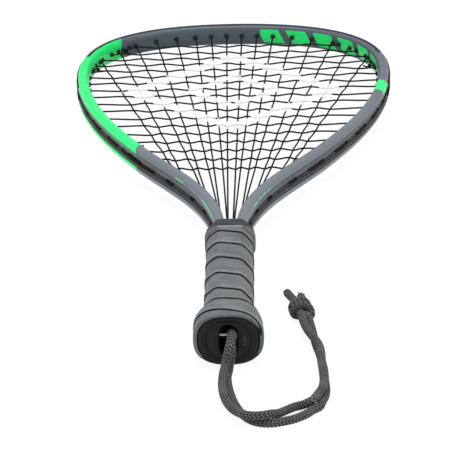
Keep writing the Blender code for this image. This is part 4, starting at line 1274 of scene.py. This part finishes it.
def collarLook():
    look = Look("collarRubber")
    grain = look.noise(1600, 3, 0.65)
    cloud = look.noise(110, 3)
    x, y, z = look.racketPlace()
    pebble = look.node("ShaderNodeTexVoronoi", {"Vector": look.place(), "Scale": 900})
    height = abs(z)
    level = (height / collarShape["cheek"]).least(1) ** 1.5
    fromRidge = y - collarShape["ridgeAt"] + level * collarShape["ridgeDip"] + height.rise(7, 14.4) * 4.5
    dark = fromRidge.rise(-0.4, 0.4)
    # Painted highlight along the ridge over the collar's top
    ridgeHighlight = fromRidge.between(-1.3, -0.4, 0.3) * (1 - abs(x).rise(7.8, 9.2))
    shade = (grain * 0.5 + cloud * 0.5).rise(0.3, 0.7)
    band = look.blend((0.13, 0.134, 0.138), ((0.19, 0.193, 0.198), shade))
    boot = look.blend((0.04, 0.044, 0.05), ((0.075, 0.08, 0.088), shade))
    base = look.blend(band, (boot, dark), ((0.42, 0.43, 0.44), ridgeHighlight * 0.9))
    relief = grain * 0.4 + pebble * dark * 0.5
    return look.finish(base, 0.5 + grain * 0.15, (relief, 0.4, 0.0002), specular=0.12)


# Reach that the collar's inside needs to follow the legs
def hugReach(y):
    station = outline.station(outline.distanceAt(y))
    return station.point.x + station.wall + collarShape["hug"]


# A ring of the collar, whose upper and lower parts drop towards the butt by a share of the mouth's dip
def collarRing(width, height, y, drop=0):
    shape = collarShape
    bevel = (width + height) / 2 * mix(shape["bevelShare"], shape["rimBevelShare"], drop)
    row = []
    for angle in shares(shape["points"], 2 * pi)[:-1]:
        spot = polar(angle, octagonReach(angle, width, height, bevel, shape["round"]), y)
        spot.y -= shape["dip"] * drop * min(abs(spot.z) / shape["cheek"], 1) ** 1.5
        row.append(spot)
    return row


def makeCollar():
    shape = collarShape
    start, end, width, height = (shape[key] for key in ("start", "end", "width", "height"))
    rows = [collarRing(width + grow * 2, height + grow * 2, start + step) for grow, step in shape["hem"]]
    first = start + shape["hem"][-1][1]
    for share in (0.2, 0.4, 0.6, 0.8, 0.92, 1):
        grown = share ** 1.4
        rows.append(collarRing(mix(width, shape["rimWidth"], grown), mix(height, shape["rimHeight"], grown),
                               mix(first, end, share), share))
    rows.append(collarRing(shape["rimWidth"] - 0.5, shape["rimHeight"] - 0.5, end + 0.25, 1))
    for grow, past, drop in shape["inside"]:
        reach = hugReach(end + past)
        row = collarRing(reach * 2 + grow, shape["hugHeight"] + grow, end + past, drop)
        for spot in row:
            spot.x *= hugReach(spot.y) / reach
        rows.append(row)
    rows += [collarRing(*shape["sleeve"], y) for y in (shape["sleeveEnd"], start)]
    bm = newBmesh()
    sweep(bm, rows, closedAlong=True)
    addPiece("gripCollar", bm, collarLook(), "grip_collar", 50)


makeCollar()
print("collar made")


def plainLook(name, base, light, rough, metallic=0):
    look = Look(name)
    grain = look.noise(1500, 3, 0.6)
    cloud = look.noise(150, 3)
    colour = look.blend(base, (light, grain * 0.6 + cloud * 0.3))
    return look.finish(colour, rough + grain * 0.15, (grain, 0.3, 0.00015), metallic=metallic)


# The solids that stay as they are: the bridge and the pallets
def dressNodes():
    nylon = plainLook("bridgeNylon", (0.02, 0.021, 0.024), (0.05, 0.052, 0.056), 0.45)
    foam = plainLook("palletFoam", (0.012, 0.012, 0.012), (0.03, 0.03, 0.03), 0.7)
    for node, look in (("throat_bridge", nylon), ("handle_pallet_top", foam),
                       ("handle_pallet_bottom", foam)):
        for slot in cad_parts[node].material_slots:
            slot.material = look


# Wire staples of the butt cap, under the tape
staple = {"across": 4, "bend": 0.4, "crown": 11.1, "legEnd": 8, "radius": 0.5, "sides": 12}


def makeStaples():
    look = plainLook("stapleSteel", (0.45, 0.45, 0.46), (0.65, 0.65, 0.66), 0.3, 1)
    across, bend, crown = staple["across"], staple["bend"], staple["crown"]
    half = [(across, staple["legEnd"]), (across, crown - bend), (across - bend, crown)]
    spots = [(-x, z) for x, z in half] + half[::-1]
    for hand, side in (("Top", 1), ("Bottom", -1)):
        node = "cap_staple_" + hand.lower()
        y = (fromRow @ nodeMiddle(node)).y
        bm = newBmesh()
        tube(bm, [Vector((x, y, z * side)) for x, z in spots], staple["radius"], staple["sides"])
        addPiece("capStaple" + hand, bm, look, node)


dressNodes()
makeStaples()
print("kept solids dressed and staples made")

# Stage and light

stage = {
    "floorSize": 6, "floorGap": 0.0002,
    "floorColour": (0.9, 0.9, 0.9),
    "floorGlow": 0.86, "glowStrength": 1.06, "skyStrength": 0.42,
    "lamps": (("overheadLamp", (0, 0, 1.5), 1.1, 17), ("leftLamp", (-1.4, -0.5, 1), 0.8, 4),
              ("rightLamp", (1.3, -0.8, 0.9), 0.7, 5)),
}


def makeStage():
    look = Look("paleFloor")
    look.finish(stage["floorColour"], 0.9, specular=0.1)
    rays = ("Is Camera Ray", "Is Glossy Ray")
    seen, glossy = (look.node("ShaderNodeLightPath", output=ray) for ray in rays)
    lit = Wire(look, look.tree.nodes["Principled BSDF"].outputs[0])
    glow = look.node("ShaderNodeEmission", {"Strength": stage["glowStrength"]})
    share = seen.most(glossy) * stage["floorGlow"]
    mixed = look.node("ShaderNodeMixShader", {0: share, 1: lit, 2: glow})
    look.feed(look.tree.nodes["Material Output"].inputs["Surface"], mixed)
    bm = bmesh.new()
    bmesh.ops.create_grid(bm, x_segments=1, y_segments=1, size=stage["floorSize"])
    bmesh.ops.translate(bm, verts=bm.verts, vec=(0, 0, cadBox[0][2] - stage["floorGap"]))
    mesh = bpy.data.meshes.new("floor")
    bm.to_mesh(mesh)
    bm.free()
    mesh.materials.append(look.material)
    floorPlane = linked("floor", mesh)


# White where the camera sees it, and dimmer where it lights the racket
def makeSky():
    world = bpy.data.worlds.new("studioSky")
    look = Look("studioSky", world)
    background = look.tree.nodes["Background"]
    look.feed(background.inputs["Color"], (1, 1, 1))
    seen = look.node("ShaderNodeLightPath", output="Is Camera Ray")
    look.feed(background.inputs["Strength"], seen.most(stage["skyStrength"]))
    bpy.context.scene.world = world


def makeLamps():
    for name, place, size, power in stage["lamps"]:
        data = bpy.data.lights.new(name, "AREA")
        data.shape = "DISK"
        data.size = size
        data.energy = power
        turn = Vector(place).to_track_quat("Z", "Y").to_matrix().to_4x4()
        turn.translation = place
        linked(name, data).matrix_world = turn


makeStage()
makeSky()
makeLamps()
bpy.context.scene.view_settings.view_transform = "Standard"
print("stage and lamps placed")
